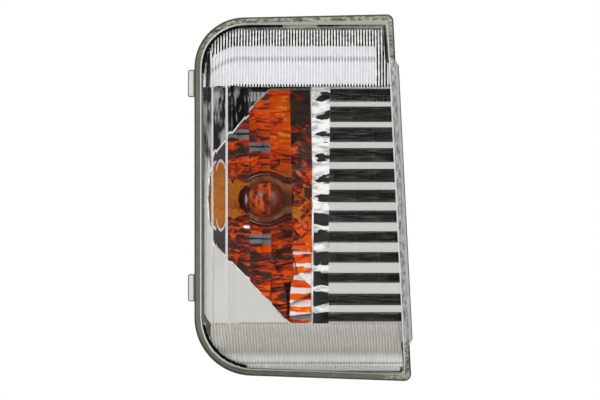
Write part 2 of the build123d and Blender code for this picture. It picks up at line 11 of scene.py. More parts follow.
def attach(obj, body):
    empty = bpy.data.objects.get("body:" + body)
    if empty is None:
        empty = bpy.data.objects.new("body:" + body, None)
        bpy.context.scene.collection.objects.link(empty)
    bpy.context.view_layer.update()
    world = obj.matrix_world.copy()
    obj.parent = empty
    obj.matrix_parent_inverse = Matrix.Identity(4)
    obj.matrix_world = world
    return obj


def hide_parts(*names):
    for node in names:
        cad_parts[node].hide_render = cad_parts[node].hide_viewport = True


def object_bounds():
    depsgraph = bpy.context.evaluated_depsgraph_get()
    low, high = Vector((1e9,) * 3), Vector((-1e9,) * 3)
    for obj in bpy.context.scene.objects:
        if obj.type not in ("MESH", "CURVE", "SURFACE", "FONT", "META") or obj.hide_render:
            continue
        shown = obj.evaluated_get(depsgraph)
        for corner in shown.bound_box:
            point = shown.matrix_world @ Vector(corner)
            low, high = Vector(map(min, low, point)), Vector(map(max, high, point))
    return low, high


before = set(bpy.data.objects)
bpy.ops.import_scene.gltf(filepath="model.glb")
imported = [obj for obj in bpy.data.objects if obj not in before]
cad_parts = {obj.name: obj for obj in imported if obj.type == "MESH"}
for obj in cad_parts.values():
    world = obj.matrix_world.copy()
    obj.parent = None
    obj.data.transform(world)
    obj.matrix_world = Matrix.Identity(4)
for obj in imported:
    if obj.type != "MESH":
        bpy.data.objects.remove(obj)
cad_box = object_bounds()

bl_info = {
    "name": "Vehicle Indicator Lamp",
    "version": (1, 0, 0),
    "blender": (4, 5, 0),
    "location": "View3D > Sidebar > Indicator Lamp",
    "description": "Dresses the packed model of a door-mirror indicator lamp",
    "category": "Object",
}

MM = 0.001

# Lens flange: its left edge, and its back and front as heights in front of the seat, in millimetres
FLANGE_LEFT = 31.7
FLANGE_BACK = 3.4
FLANGE_FRONT = 5.4

# Shelf of the housing behind the bands, as a place along Y in millimetres
SHELF_LEVEL = -2.0

# Rim outline in millimetres: its sharp corners in X and Z from the top left, and their radii
RIM = [(-31.7, 78.9), (55.2, 80.8), (63.2, -79.7), (-31.7, -76.4)]
RIM_RADII = (22.0, 3.0, 3.0, 25.5)

# Width of the flange's band, and of the painted highlight line and the dark gaps of painted shade
# inside it, in millimetres, and the gaps' runs along the top, as ranges along X
RIM_BAND = 2.7
RIM_HIGHLIGHT = 0.5
RIM_GAP_SHADE = 1.8
GAP_SHADE_RUNS = ((-11.0, 7.0), (22.0, 50.0))

# Front of the lens in millimetres: its height over the seat, the thickness of its skin, and where
# it starts to round to the left, with that radius
LENS_FRONT = 22.0
LENS_SKIN = 2.15
TURN_START = -12.0
TURN_RADIUS = 20.0

# Flutes of each band in millimetres: count, direction, start height, radius of the curved front,
# and how far they lean to the right on their way
FLUTES = [
    {"count": 58, "way": 1, "start": 48.7, "radius": 31.0, "lean": 0.0},
    {"count": 64, "way": -1, "start": -54.0, "radius": 23.0, "lean": 0.1},
]
FLUTE_LEFT = -23.68
FLUTE_PITCH = 1.27
FLUTE_DEPTH = 0.5

# Angle of the curved front that the flutes climb, in degrees
FLUTE_TURN = 62.0

# Troughs between the louvre bars in millimetres: middle of the first one, pitch, and the bowl's
# edge and the start of their full depth along X
TROUGH_MIDDLE = 36.8
TROUGH_PITCH = 8.9
TROUGH_EDGE = 19.6
TROUGH_START = 27.0

# Edges of the lens's prism strips over the bowl, in millimetres
STRIP_EDGES = (-22.8, -16.7, -7.9, 0.9, 9.7)

# Steep inner faces at the edges of the two left strips, which get painted light in grey, as ranges
# along X in millimetres
STRIP_RETURNS = ((-23.3, -22.75), (-17.65, -16.7))

# Rounded edge of the bowl's hole: radius and level of its middle, and its own radius
HOLE_EDGE = (11.35, 12.9, 0.9)

# How strongly each strip's painted reflection glows amber at the bottom, in the middle and at the
# top of the bowl
STRIP_GLOW = (
    (0.26, 0.26, 0.26), (0.26, 0.28, 0.26), (0.26, 0.64, 0.34),
    (0.28, 0.56, 0.50), (0.34, 0.40, 0.84), (0.72, 0.48, 0.22),
)
GLOW_HEIGHT = 28.0

# Facets of the bowl: how many go round, the radii of their rings and their depth in millimetres,
# how far their painted glow may be off, and the share of bright ones, which have a glow of their
# own
FACET_SECTORS = 22
FACET_RINGS = (12.6, 17.5, 23.5, 30.0, 37.0, 44.5, 52.0, 62.0)
FACET_DEPTH = 2.2
GLOW_SPREAD = 0.17
BRIGHT_SHARE = 0.05
BRIGHT_GLOW = 1.4

# Ovals in which the two left strips show a painted reflection of the bulb again: middle and half
# size in X and Z, in millimetres
OVALS = (((-25.2, 0.0), (2.6, 11.5)), ((-19.9, 1.6), (3.05, 14.8)))

# Edge of the bowl as it shows from the front, in millimetres, just inside its rim
BOWL_RIM = [
    (19.0, -53.8), (19.0, 47.4), (0.6, 47.4), (-21.2, 20.4), (-24.0, 10.5),
    (-24.7, 0.0), (-24.0, -10.5), (-21.2, -20.4), (10.2, -53.8),
]

# Material slots of the lens
CLEAR, FLANGE, FLUTED, TAB, TAB_EDGE, STEP = range(6)

# Soft lights: name, place in metres and level, with one size and one target
LIGHTS = (
    ("front_left_light", (-0.9, -1.1, 0.8), 0.22),
    ("front_right_light", (1.1, -0.9, 0.5), 0.16),
    ("back_light", (0.3, 1.3, 0.9), 0.3),
)
LIGHT_SIZE = 0.9
LIGHT_TARGET = (0.015, 0, 0)


def linear(hex_colour):
    """Scene-linear colour with full alpha from an sRGB hex value."""
    channels = []
    for start in (1, 3, 5):
        value = int(hex_colour[start:start + 2], 16) / 255
        channels.append(value / 12.92 if value <= 0.04045 else ((value + 0.055) / 1.055) ** 2.4)
    return (*channels, 1.0)


def colour(name, description, hex_colour):
    """Colour setting with its default from an sRGB hex value."""
    return bpy.props.FloatVectorProperty(
        name=name, description=description, subtype="COLOR", size=4, min=0, max=1,
        default=linear(hex_colour),
    )


def length(name, description, millimetres):
    """Length setting with its default in millimetres."""
    return bpy.props.FloatProperty(
        name=name, description=description, unit="LENGTH", default=millimetres * MM,
    )


class LampSizes(bpy.types.PropertyGroup):
    """Sizes that a user would change."""

    picture_width: length("Picture Width", "Width of the view at the seat plane", 263.0)
    camera_distance: length("Camera Distance", "From the camera to the seat plane", 2000.0)
    picture_x: length("Picture Centre X", "Where the camera looks, to the right", 14.47)
    picture_z: length("Picture Centre Z", "Where the camera looks, upwards", -0.44)
    bowl_bead: length("Bowl Bead", "Radius of the bead along the bowl's edge", 0.34)
    filament_coil: length("Filament Coil", "Radius of the filament's coil", 0.38)
    filament_wire: length("Filament Wire", "Radius of the filament's wire", 0.09)


class LampFinishes(bpy.types.PropertyGroup):
    """Colours that a user would change."""

    housing: colour("Housing", "Grey-green moulding behind the lens", "#7b7c6e")
    shelf: colour("Shelf", "Pale mist on the shelf behind the bands", "#d2cfc4")
    sealant: colour("Sealant", "Bead in the groove behind the flange", "#8d8e82")
    # Also the colour of the painted highlight along the flange's inner edge
    sealant_spots_and_highlight: colour("Sealant Spots", "Bubbles of sealant along the rim", "#b3b2a6")
    metallised: colour("Reflector", "Aluminium layer on the reflector", "#eeedea")
    # The troughs' colour: painted streaks of reflection in their painted shade
    trough: colour("Troughs", "Thin aluminium layer between the bars", "#a3a3a0")
    # Colours of the bowl facets' painted reflection of the bulb and its holder
    glow_dark: colour("Bowl Shade", "Where the bowl mirrors the dark of its holder", "#41322a")
    glow_red: colour("Bowl Red", "Where the bowl mirrors the bulb's side", "#b6351a")
    glow_orange: colour("Bowl Orange", "Where the bowl mirrors the lit bulb", "#f25a00")
    glow_ochre: colour("Bowl Ochre", "Where the bowl mirrors the bulb's thin lacquer", "#cf7f22")
    amber: colour("Bulb Lacquer", "Amber lacquer on the bulb", "#c84602")
    holder: colour("Bulb Holder", "Black moulding of the bulb holder", "#1d1d1e")
    rubber: colour("Rubber", "Seal and vent cap", "#161616")
    brass: colour("Contacts", "Brass of the contacts", "#c9a566")
    steel: colour("Steel", "Screws and lead wires", "#b4b5b4")
    floor: colour("Floor", "Pale floor", "#f2f2f1")


def sizes():
    """The size settings of the scene."""
    return bpy.context.scene.lamp_sizes


def finish(name):
    """One of the scene's colour settings."""
    return tuple(getattr(bpy.context.scene.lamp_finishes, name))


# Materials


def add_node(tree, kind, inputs=(), **settings):
    """Adds a node with its settings, and sets or links its inputs, given in order or by socket.
    Returns its outputs."""
    node = tree.nodes.new("ShaderNode" + kind)
    for name, value in settings.items():
        setattr(node, name, value)
    for socket, value in inputs.items() if isinstance(inputs, dict) else enumerate(inputs):
        if isinstance(value, bpy.types.NodeSocket):
            tree.links.new(value, node.inputs[socket])
        else:
            node.inputs[socket].default_value = value
    return node.outputs


def new_material(name):
    """Material with an empty tree, and add_node for that tree."""
    material = bpy.data.materials.new(name)
    material.use_nodes = True
    material.node_tree.nodes.clear()
    return material, partial(add_node, material.node_tree)


def place(add, scale=(1, 1, 1)):
    """Object coordinates in metres, stretched by a scale."""
    return add("Mapping", {"Vector": add("TexCoord")["Object"], "Scale": scale})["Vector"]


def off_axis(add):
    """Distance from the bulb's axis in metres."""
    return add("VectorMath", (place(add, (1, 0, 1)),), operation="LENGTH")["Value"]


def shaded(rgba, share):
    """A colour made darker or lighter by a share."""
    return (*(min(channel * share, 1.0) for channel in rgba[:3]), 1.0)


def band(add, value, low, high, soft):
    """1 between two values and 0 outside them, with soft ends."""
    rise = add("MapRange", (value, low - soft, low + soft))[0]
    fall = add("MapRange", (value, high + soft, high - soft))[0]
    return add("Math", (rise, fall), operation="MULTIPLY")[0]


def layered(add, colour, value, *layers):
    """A colour with others over it, each laid on as a value goes from its start to its end."""
    for start, end, cover in layers:
        mask = add("MapRange", (value, start, end))[0]
        colour = add("Mix", {0: mask, 6: colour, 7: cover}, data_type="RGBA")[2]
    return colour


def clear_acrylic():
    """PMMA, injection moulded and polished: clear, with a bright line of painted highlight and dark
    gaps of painted shade along its edge, and a side wall painted with the light it gathers, in pale
    and dark flecks."""
    material, add = new_material("clear_moulded_acrylic")
    clear = add(
        "BsdfPrincipled",
        {
            "Base Color": linear("#ffffff"), "Roughness": 0.0, "IOR": 1.49,
            "Transmission Weight": 1.0,
        },
    )
    is_shadow = add("LightPath")["Is Shadow Ray"]
    glass = add("MixShader", (is_shadow, clear[0], add("BsdfTransparent")[0]))
    inset = add("Attribute", attribute_name="inset")["Fac"]
    x, _, z = add("SeparateXYZ", (place(add),))
    # The wall's flecks of painted light are longer than they are wide, and its outer edge is dark
    # with painted shade
    flecks = add(
        "TexNoise",
        {
            "Vector": place(add, (1, 1, 0.3)), "Scale": 1 / (1.1 * MM), "Detail": 3.0,
            "Roughness": 0.65,
        },
    )[0]
    wall = layered(add, linear("#737371"), flecks, (0.38, 0.64, linear("#cececd")))
    outline = add("MapRange", (inset, -0.9, -1.1))[0]
    wall = add("Mix", {0: outline, 6: wall, 7: linear("#454545")}, data_type="RGBA")[2]
    in_wall = add("MapRange", (inset, RIM_BAND + 0.05, RIM_BAND - 0.05))[0]
    highlight_end = RIM_BAND + RIM_HIGHLIGHT
    line = band(add, inset, RIM_BAND, highlight_end, 0.08)
    # Painted shade: dark gaps along the top and round the left corners, where the bond doesn't
    # reach as far in
    ragged = add("Math", (flecks, 1.2, inset), operation="MULTIPLY_ADD")[0]
    gaps = band(add, ragged, highlight_end + 0.8, highlight_end + RIM_GAP_SHADE + 0.3, 0.05)
    runs = [band(add, x, low * MM, high * MM, 0.3 * MM) for low, high in GAP_SHADE_RUNS]
    top_runs = add("Math", runs, operation="ADD")[0]
    at_top = add("MapRange", (z, 60 * MM, 60.5 * MM))[0]
    top_runs = add("Math", (top_runs, at_top), operation="MULTIPLY")[0]
    at_left = add("MapRange", (x, -8 * MM, -9 * MM))[0]
    off_centre = add("Math", (z,), operation="ABSOLUTE")[0]
    at_end = add("MapRange", (off_centre, 54 * MM, 55 * MM))[0]
    corner_runs = add("Math", (at_left, at_end), operation="MULTIPLY")[0]
    runs = add("Math", (top_runs, corner_runs), operation="MAXIMUM")[0]
    gaps = add("Math", (gaps, runs), operation="MULTIPLY")[0]
    # Over the wall: the painted highlight line, then the painted shade of the gaps
    tint = add("Mix", {0: line, 6: wall, 7: linear("#dddddb")}, data_type="RGBA")[2]
    tint = add("Mix", {0: gaps, 6: tint, 7: linear("#121212")}, data_type="RGBA")[2]
    moulded = add(
        "BsdfPrincipled",
        {"Roughness": 0.2, "IOR": 1.49, "Specular IOR Level": 0.0, "Base Color": tint},
    )
    share = add("Math", (in_wall, 0.8), operation="MULTIPLY")[0]
    for mask in (outline, line, gaps):
        share = add("Math", (share, mask), operation="MAXIMUM")[0]
    shader = add("MixShader", (share, glass[0], moulded[0]))
    add("OutputMaterial", {"Surface": shader[0]})
    return material


def fluted_acrylic():
    """PMMA with fine moulded flutes whose colour is painted reflection and light: each gathers the
    white studio and the dark rim into pale bands with fine lines, black and white near the top edge
    and warm grey at the bottom."""
    material, add = new_material("fluted_moulded_acrylic")
    x, _, z = add("SeparateXYZ", (place(add),))
    low = add("MapRange", (z, 1 * MM, -1 * MM))[0]
    climb = add("Math", (z, -FLUTES[1]["start"] * MM), operation="ADD")[0]
    climb = add("Math", (climb, low), operation="MULTIPLY")[0]
    across = add("Math", (climb, FLUTES[1]["lean"], x), operation="MULTIPLY_ADD")[0]
    across = add("Math", (across, -FLUTE_LEFT * MM), operation="ADD")[0]
    across = add("Math", (across, 1 / (FLUTE_PITCH * MM)), operation="MULTIPLY")[0]
    share = add("Math", (across,), operation="FRACT")[0]
    off_ridge = add("Math", (share, -0.5), operation="ADD")[0]
    off_ridge = add("Math", (off_ridge,), operation="ABSOLUTE")[0]
    wander = add("TexNoise", {"Vector": place(add), "Scale": 1 / (2.2 * MM)})[0]
    wander = add("Math", (wander, -0.5), operation="ADD")[0]
    off_ridge = add("Math", (wander, 0.35, off_ridge), operation="MULTIPLY_ADD")[0]
    lines = add("MapRange", (off_ridge, 0.26, 0.32))[0]
    # The painted black and white zone bends down where the lens rounds to the left
    turned = add("Math", (TURN_START * MM, x), operation="SUBTRACT")[0]
    turned = add("Math", (turned, 0.0), operation="MAXIMUM")[0]
    bend = add("Math", (turned, turned), operation="MULTIPLY")[0]
    bend = add("Math", (bend, 36.0), operation="MULTIPLY")[0]
    height = add("Math", (z, bend), operation="ADD")[0]
    # Painted reflection: pale bands with fine lines, and rows of strong black and white near the
    # top edge
    pale = add(
        "Mix", {0: lines, 6: linear("#d4d4d8"), 7: linear("#efeff2")}, data_type="RGBA"
    )[2]
    second_row = band(add, height, 59.5 * MM, 61.5 * MM, 0.6 * MM)
    second_row = add("Math", (second_row, 0.6), operation="MULTIPLY")[0]
    first_row = band(add, height, 48.6 * MM, 49.8 * MM, 0.2 * MM)
    dotted = add("Mix", {0: lines, 6: linear("#3f3f3f"), 7: linear("#e7e7e5")}, data_type="RGBA")[2]
    strong = add("Mix", {0: lines, 6: linear("#030303"), 7: linear("#fffffd")}, data_type="RGBA")[2]
    top = add("Mix", {0: second_row, 6: pale, 7: dotted}, data_type="RGBA")[2]
    top = add("Mix", {0: first_row, 6: top, 7: strong}, data_type="RGBA")[2]
    top = layered(add, top, height, (65.8 * MM, 66.3 * MM, strong))
    right_end = band(add, x, 47.2 * MM, 52.3 * MM, 0.1 * MM)
    top = add("Mix", {0: right_end, 6: top, 7: strong}, data_type="RGBA")[2]
    # Painted light at the bottom: warm grey, turning white further down
    warm = add(
        "Mix", {0: lines, 6: linear("#b1afa8"), 7: linear("#d4d1cb")}, data_type="RGBA"
    )[2]
    lit = add(
        "Mix", {0: lines, 6: linear("#fdfcf8"), 7: linear("#fffffe")}, data_type="RGBA"
    )[2]
    bottom = layered(add, warm, z, (-66 * MM, -69 * MM, lit))
    height = add("Math", (z, bend), operation="SUBTRACT")[0]
    for level in (-70.5, -74.5):
        row = band(add, height, (level - 0.5) * MM, level * MM, 0.3 * MM)
        bottom = add("Mix", {0: row, 6: bottom, 7: strong}, data_type="RGBA")[2]
    tint = add("Mix", {0: low, 6: top, 7: bottom}, data_type="RGBA")[2]
    shader = add(
        "BsdfPrincipled",
        {"Roughness": 0.12, "IOR": 1.49, "Transmission Weight": 0.12, "Base Color": tint},
    )
    add("OutputMaterial", {"Surface": shader[0]})
    return material


def flange_over_sealant():
    """Clear PMMA flange bonded on grey sealant: a grey-green band with a dark outer line of painted
    shade, a light inner one of painted highlight and bubbles of squeezed-out sealant along its top
    and right, with painted shade in their pits."""
    material, add = new_material("acrylic_flange_on_sealant")
    inset = add("Attribute", attribute_name="inset")["Fac"]
    x, _, z = add("SeparateXYZ", (place(add),))
    cloud = add("TexNoise", {"Vector": place(add), "Scale": 1 / (5 * MM), "Detail": 3.0})[0]
    base = finish("housing")
    tint = layered(add, shaded(base, 0.98), cloud, (0.35, 0.7, shaded(base, 1.25)))
    bubbles = add(
        "TexNoise", {"Vector": place(add, (0.5, 1, 0.8)), "Scale": 1 / (1.0 * MM), "Roughness": 0.6}
    )[0]
    at_top = add("MapRange", (z, 62 * MM, 70 * MM))[0]
    at_right = add("MapRange", (x, 50 * MM, 52 * MM))[0]
    near = add("Math", (at_top, at_right), operation="MAXIMUM")[0]
    pale, dark = finish("sealant_spots_and_highlight"), shaded(base, 0.45)
    # Pale spots of sealant, and dark ones that are painted shade in the bubbles' pits
    for low, high, cover in ((0.49, 0.55, pale), (0.4, 0.34, dark)):
        spots = add("MapRange", (bubbles, low, high))[0]
        spots = add("Math", (near, spots), operation="MULTIPLY")[0]
        tint = add("Mix", {0: spots, 6: tint, 7: cover}, data_type="RGBA")[2]
    # Painted shade along the outer edge, and a painted highlight along the inner one
    tint = layered(add, tint, inset, (0.75, 0.55, shaded(base, 0.42)), (2.4, 2.6, pale))
    shader = add(
        "BsdfPrincipled",
        {
            "Roughness": 0.28, "IOR": 1.49, "Coat Weight": 0.4, "Coat Roughness": 0.05,
            "Base Color": tint,
            "Normal": add("Bump", {"Height": bubbles, "Distance": 0.15 * MM, "Strength": 0.6})[0],
        },
    )
    add("OutputMaterial", {"Surface": shader[0]})
    return material


def tab_acrylic(name, base):
    """PMMA of a tab, its edge or a steep step: takes one level of grey from the studio round it,
    painted on as light, and darker on the tab's edge as painted shade.
    """
    material, add = new_material(name)
    cloud = add("TexNoise", {"Vector": place(add), "Scale": 1 / (4 * MM)})[0]
    shader = add(
        "BsdfPrincipled",
        {
            "Roughness": 0.1, "IOR": 1.49,
            "Base Color": add(
                "Mix", {0: cloud, 6: shaded(base, 0.9), 7: shaded(base, 1.1)}, data_type="RGBA"
            )[2],
        },
    )
    add("OutputMaterial", {"Surface": shader[0]})
    return material


def metallised_reflector():
    """Aluminium vapour on moulded PBT, under clear coat: a mirror with streaks and soft waves, and
    with painted shade and reflections in the troughs, left of the bowl and round its hole.
    """
    material, add = new_material("vacuum_metallised_aluminium")
    x, y, z = add("SeparateXYZ", (place(add),))
    # Painted shade down in the troughs between the bars, streaked with painted reflections
    streaks = add("TexNoise", {"Vector": place(add, (0.06, 1, 1)), "Scale": 1 / (0.5 * MM)})[0]
    beside_bowl = add("MapRange", (x, (TROUGH_START - 0.1) * MM, (TROUGH_START + 0.1) * MM))[0]
    behind_bars = add("MapRange", (y, -11.9 * MM, -11.6 * MM))[0]
    in_trough = add("Math", (beside_bowl, behind_bars), operation="MULTIPLY")[0]
    trough_shade = layered(add, linear("#272726"), streaks, (0.48, 0.68, finish("trough")))
    tint = add("Mix", {0: in_trough, 6: finish("metallised"), 7: trough_shade}, data_type="RGBA")[2]
    # Left of the bars the troughs run out in painted reflections: bright, with a dark leaf in each
    # one beside the upper half of the bowl, and dark to the bowl's edge beside the lower half
    waves = add("TexNoise", {"Vector": place(add, (0.35, 1, 1)), "Scale": 1 / (2.0 * MM)})[0]
    in_run_out = band(add, x, TROUGH_EDGE * MM, TROUGH_START * MM, 0.05 * MM)
    pitches = add("Math", (z, TROUGH_MIDDLE * MM), operation="SUBTRACT")[0]
    pitches = add("Math", (pitches, 1 / (TROUGH_PITCH * MM)), operation="MULTIPLY")[0]
    off_middle = add("Math", (pitches, 0.5), operation="ADD")[0]
    off_middle = add("Math", (off_middle,), operation="FRACT")[0]
    off_middle = add("Math", (off_middle, 0.5), operation="SUBTRACT")[0]
    upper = add("MapRange", (z, -9 * MM, -1 * MM))[0]
    sway = add(
        "TexNoise", {"Vector": place(add, (0.6, 1, 1)), "Scale": 1 / (7 * MM), "Detail": 0.0}
    )[0]
    sway = add("Math", (sway, -0.5), operation="ADD")[0]
    sway = add("Math", (sway, 0.9, 0.1), operation="MULTIPLY_ADD")[0]
    off_middle = add("Math", (upper, sway, off_middle), operation="MULTIPLY_ADD")[0]
    off_middle = add("Math", (off_middle,), operation="ABSOLUTE")[0]
    unrest = add("Math", (waves, -0.5), operation="ADD")[0]
    off_middle = add("Math", (unrest, 0.7, off_middle), operation="MULTIPLY_ADD")[0]
    run = add("Math", (x, 25.4 * MM), operation="SUBTRACT")[0]
    run = add("Math", (run, 1 / (4.6 * MM)), operation="MULTIPLY")[0]
    leaf = add("Math", (run, run), operation="MULTIPLY")[0]
    leaf = add("Math", (leaf, 0.19), operation="MULTIPLY")[0]
    leaf = add("Math", (0.19, leaf), operation="SUBTRACT")[0]
    leaf = add("Math", (leaf, upper), operation="MULTIPLY")[0]
    lower = add("MapRange", (upper, 0, 1, 0.33, 0))[0]
    half = add("Math", (leaf, lower), operation="ADD")[0]
    outside = add("Math", (off_middle, half), operation="SUBTRACT")[0]
    bright = layered(add, linear("#fffffd"), waves, (0.48, 0.62, linear("#bcbcba")))
    run_out = layered(add, bright, outside, (0.02, -0.02, linear("#1d1d1c")))
    tint = add("Mix", {0: in_run_out, 6: tint, 7: run_out}, data_type="RGBA")[2]
    # Painted reflections: upright streaks on the panel above and left of the bowl, which turn pale
    # lower down
    ripples = add(
        "TexNoise", {"Vector": place(add, (1, 1, 0.05)), "Scale": 1 / (1.9 * MM), "Roughness": 0.6}
    )[0]
    left = add("MapRange", (x, -6 * MM, -8 * MM))[0]
    above = add("MapRange", (z, 4 * MM, 20 * MM))[0]
    streaky = add("Math", (left, above), operation="MULTIPLY")[0]
    paler = add("MapRange", (x, -17 * MM, -27 * MM, 0.0, 0.08))[0]
    ripples = add("Math", (ripples, paler), operation="ADD")[0]
    upright_reflection = layered(add, linear("#121212"), ripples, (0.5, 0.64, linear("#f9f9f7")))
    tint = add("Mix", {0: streaky, 6: tint, 7: upright_reflection}, data_type="RGBA")[2]
    matt = add("Math", (streaky, 0.6), operation="MULTIPLY")[0]
    matt = add("Math", (in_run_out, matt), operation="MAXIMUM")[0]
    matt = add("Math", (matt, 0.55), operation="MULTIPLY")[0]
    matt_trough = add("Math", (in_trough, 0.22), operation="MULTIPLY")[0]
    matt = add("Math", (matt, matt_trough), operation="MAXIMUM")[0]
    # Painted light: the edge of the bowl's hole is brown from the bulb's light, with a painted
    # highlight on a pale lip at its left
    reach = off_axis(add)
    lip_highlight = band(add, reach, 11.0 * MM, 11.15 * MM, 0.08 * MM)
    at_left = add("MapRange", (x, 0, -4 * MM))[0]
    lip_highlight = add("Math", (lip_highlight, at_left), operation="MULTIPLY")[0]
    edge = add("Mix", {0: lip_highlight, 6: linear("#5d1d12"), 7: linear("#e7e7e5")}, data_type="RGBA")[2]
    at_hole = add("MapRange", (reach, 12.9 * MM, 12.7 * MM))[0]
    tint = add("Mix", {0: at_hole, 6: tint, 7: edge}, data_type="RGBA")[2]
    matt = add("Math", (matt, at_hole), operation="MAXIMUM")[0]
    ripple = add("Math", (streaks, 0.005), operation="MULTIPLY")[0]
    shader = add(
        "BsdfPrincipled",
        {
            "Roughness": 0.04, "Base Color": tint,
            "Metallic": add("MapRange", (matt, 0, 1, 1, 0))[0],
            "Normal": add("Bump", {"Height": ripple, "Distance": MM})[0],
        },
    )
    add("OutputMaterial", {"Surface": shader[0]})
    return material


def bright_moulded_edge():
    """Aluminium vapour on the bowl's moulded bead: a fine white line of painted highlight, lit all
    round.
    """
    material, add = new_material("metallised_bead")
    glint = add("TexNoise", {"Vector": place(add), "Scale": 1 / (3 * MM)})[0]
    shader = add(
        "BsdfPrincipled",
        {
            "Metallic": 0.3, "Roughness": 0.2,
            "Base Color": layered(add, linear("#c4c4c2"), glint, (0.35, 0.6, linear("#f9f9f7"))),
        },
    )
    add("OutputMaterial", {"Surface": shader[0]})
    return material


def bowl_facet_aluminium():
    """Aluminium vapour on the bowl's facets, with a painted reflection of the amber bulb in orange,
    red and brown.
    """
    material, add = new_material("metallised_facets_round_amber_bulb")
    facet = add("Attribute", attribute_name="glow")["Fac"]
    offset = add("VectorMath", (facet, (0.37, 0.11, 0.23)), operation="MULTIPLY")
    where = place(add)
    apart = add("VectorMath", (where, offset[0]), operation="ADD")
    stretched = add("Mapping", {"Scale": (0.3, 1, 1), "Vector": apart[0]})[0]
    waves = add(
        "TexNoise",
        {
            "Vector": stretched, "Scale": 1 / (3.6 * MM), "Detail": 5.0, "Roughness": 0.62,
            "Distortion": 1.2,
        },
    )[0]
    tone = add("Math", (waves, 2.6, -1.33), operation="MULTIPLY_ADD")[0]
    tone = add("Math", (tone, facet), operation="ADD")[0]
    tint = layered(
        add, finish("glow_dark"), tone, (0.28, 0.4, finish("glow_red")),
        (0.44, 0.58, finish("glow_orange")), (0.95, 1.05, linear("#ff9527")),
    )
    speckle = add("TexNoise", {"Vector": where, "Scale": 1 / (0.5 * MM)})[0]
    ochre = layered(
        add, shaded(finish("glow_ochre"), 0.55), speckle,
        (0.35, 0.65, shaded(finish("glow_ochre"), 1.25)),
    )
    # Painted reflection: ochre across the middle, where the bulb stands in front of the bowl
    side, _, height = add("SeparateXYZ", (where,))
    off_centre = add("Math", (height,), operation="ABSOLUTE")[0]
    near = add("MapRange", (off_centre, 15 * MM, 8 * MM))[0]
    lit = add("MapRange", (tone, 0.5, 0.62))[0]
    share = add("Math", (near, lit), operation="MULTIPLY")[0]
    tint = add("Mix", {0: share, 6: tint, 7: ochre}, data_type="RGBA")[2]
    silver = add("MapRange", (facet, 1.1, 1.2))[0]
    tint = add("Mix", {0: silver, 6: tint, 7: finish("metallised")}, data_type="RGBA")[2]
    # Painted reflection: grey bands, where a strip shows the joints of the bowl, and white stripes
    # low on the right
    wobble = add("Math", (waves, 2.4 * MM, height), operation="MULTIPLY_ADD")[0]
    for strip, level in ((2, 24.0), (2, -16.4), (1, 29.5)):
        low, high = STRIP_EDGES[strip:strip + 2]
        across = band(add, side, low * MM, high * MM, 0.05 * MM)
        wide = band(add, wobble, (level - 2.0) * MM, (level + 2.0) * MM, 0.2 * MM)
        fine = band(add, wobble, (level - 0.3) * MM, (level + 0.5) * MM, 0.2 * MM)
        seam = {0: fine, 6: linear("#898e95"), 7: linear("#272726")}
        seam = add("Mix", seam, data_type="RGBA")[2]
        joint = add("Math", (across, wide), operation="MULTIPLY")[0]
        tint = add("Mix", {0: joint, 6: tint, 7: seam}, data_type="RGBA")[2]
    stripe = add("Math", (wobble, 1 / (5.7 * MM)), operation="MULTIPLY")[0]
    stripe = add("Math", (stripe,), operation="FRACT")[0]
    width = add("MapRange", (height, -22 * MM, -52 * MM, 0.18, 0.62))[0]
    stripe = add("Math", (stripe, width), operation="SUBTRACT")[0]
    stripe = add("MapRange", (stripe, 0.02, -0.02))[0]
    at_right = add("MapRange", (side, STRIP_EDGES[4] * MM, (STRIP_EDGES[4] + 0.1) * MM))[0]
    below = add("MapRange", (height, -22 * MM, -24 * MM))[0]
    low_right = add("Math", (at_right, below), operation="MULTIPLY")[0]
    stripe = add("Math", (stripe, low_right), operation="MULTIPLY")[0]
    tint = add("Mix", {0: stripe, 6: tint, 7: linear("#efefec")}, data_type="RGBA")[2]
    # Painted reflection: the two left strips show the dark rim of the bulb's holder, and the bulb
    # again in an oval
    cloud = layered(add, linear("#3f3f3f"), speckle, (0.3, 0.7, linear("#525251")))
    tint = layered(add, tint, side, (-16.6 * MM, -16.8 * MM, cloud))
    for (x, z), (half_x, half_z) in OVALS:
        # The mapping node scales before it moves
        oval = add(
            "Mapping",
            {
                "Vector": where, "Location": (-x / half_x, 0, -z / half_z),
                "Scale": (1 / (half_x * MM), 0, 1 / (half_z * MM)),
            },
        )
        reach = add("VectorMath", (oval[0],), operation="LENGTH")["Value"]
        tint = layered(add, tint, reach, (1.08, 1.05, linear("#f3f1ec")), (1.0, 0.97, ochre))
    shader = add(
        "BsdfPrincipled",
        {
            "Base Color": tint, "Metallic": add("MapRange", (silver, 0, 1, 0.12, 1.0))[0],
            "Roughness": 0.09, "IOR": 1.5, "Specular IOR Level": 0.15,
            "Normal": add("Bump", {"Height": waves, "Distance": 0.5 * MM, "Strength": 0.5})[0],
        },
    )
    add("OutputMaterial", {"Surface": shader[0]})
    return material


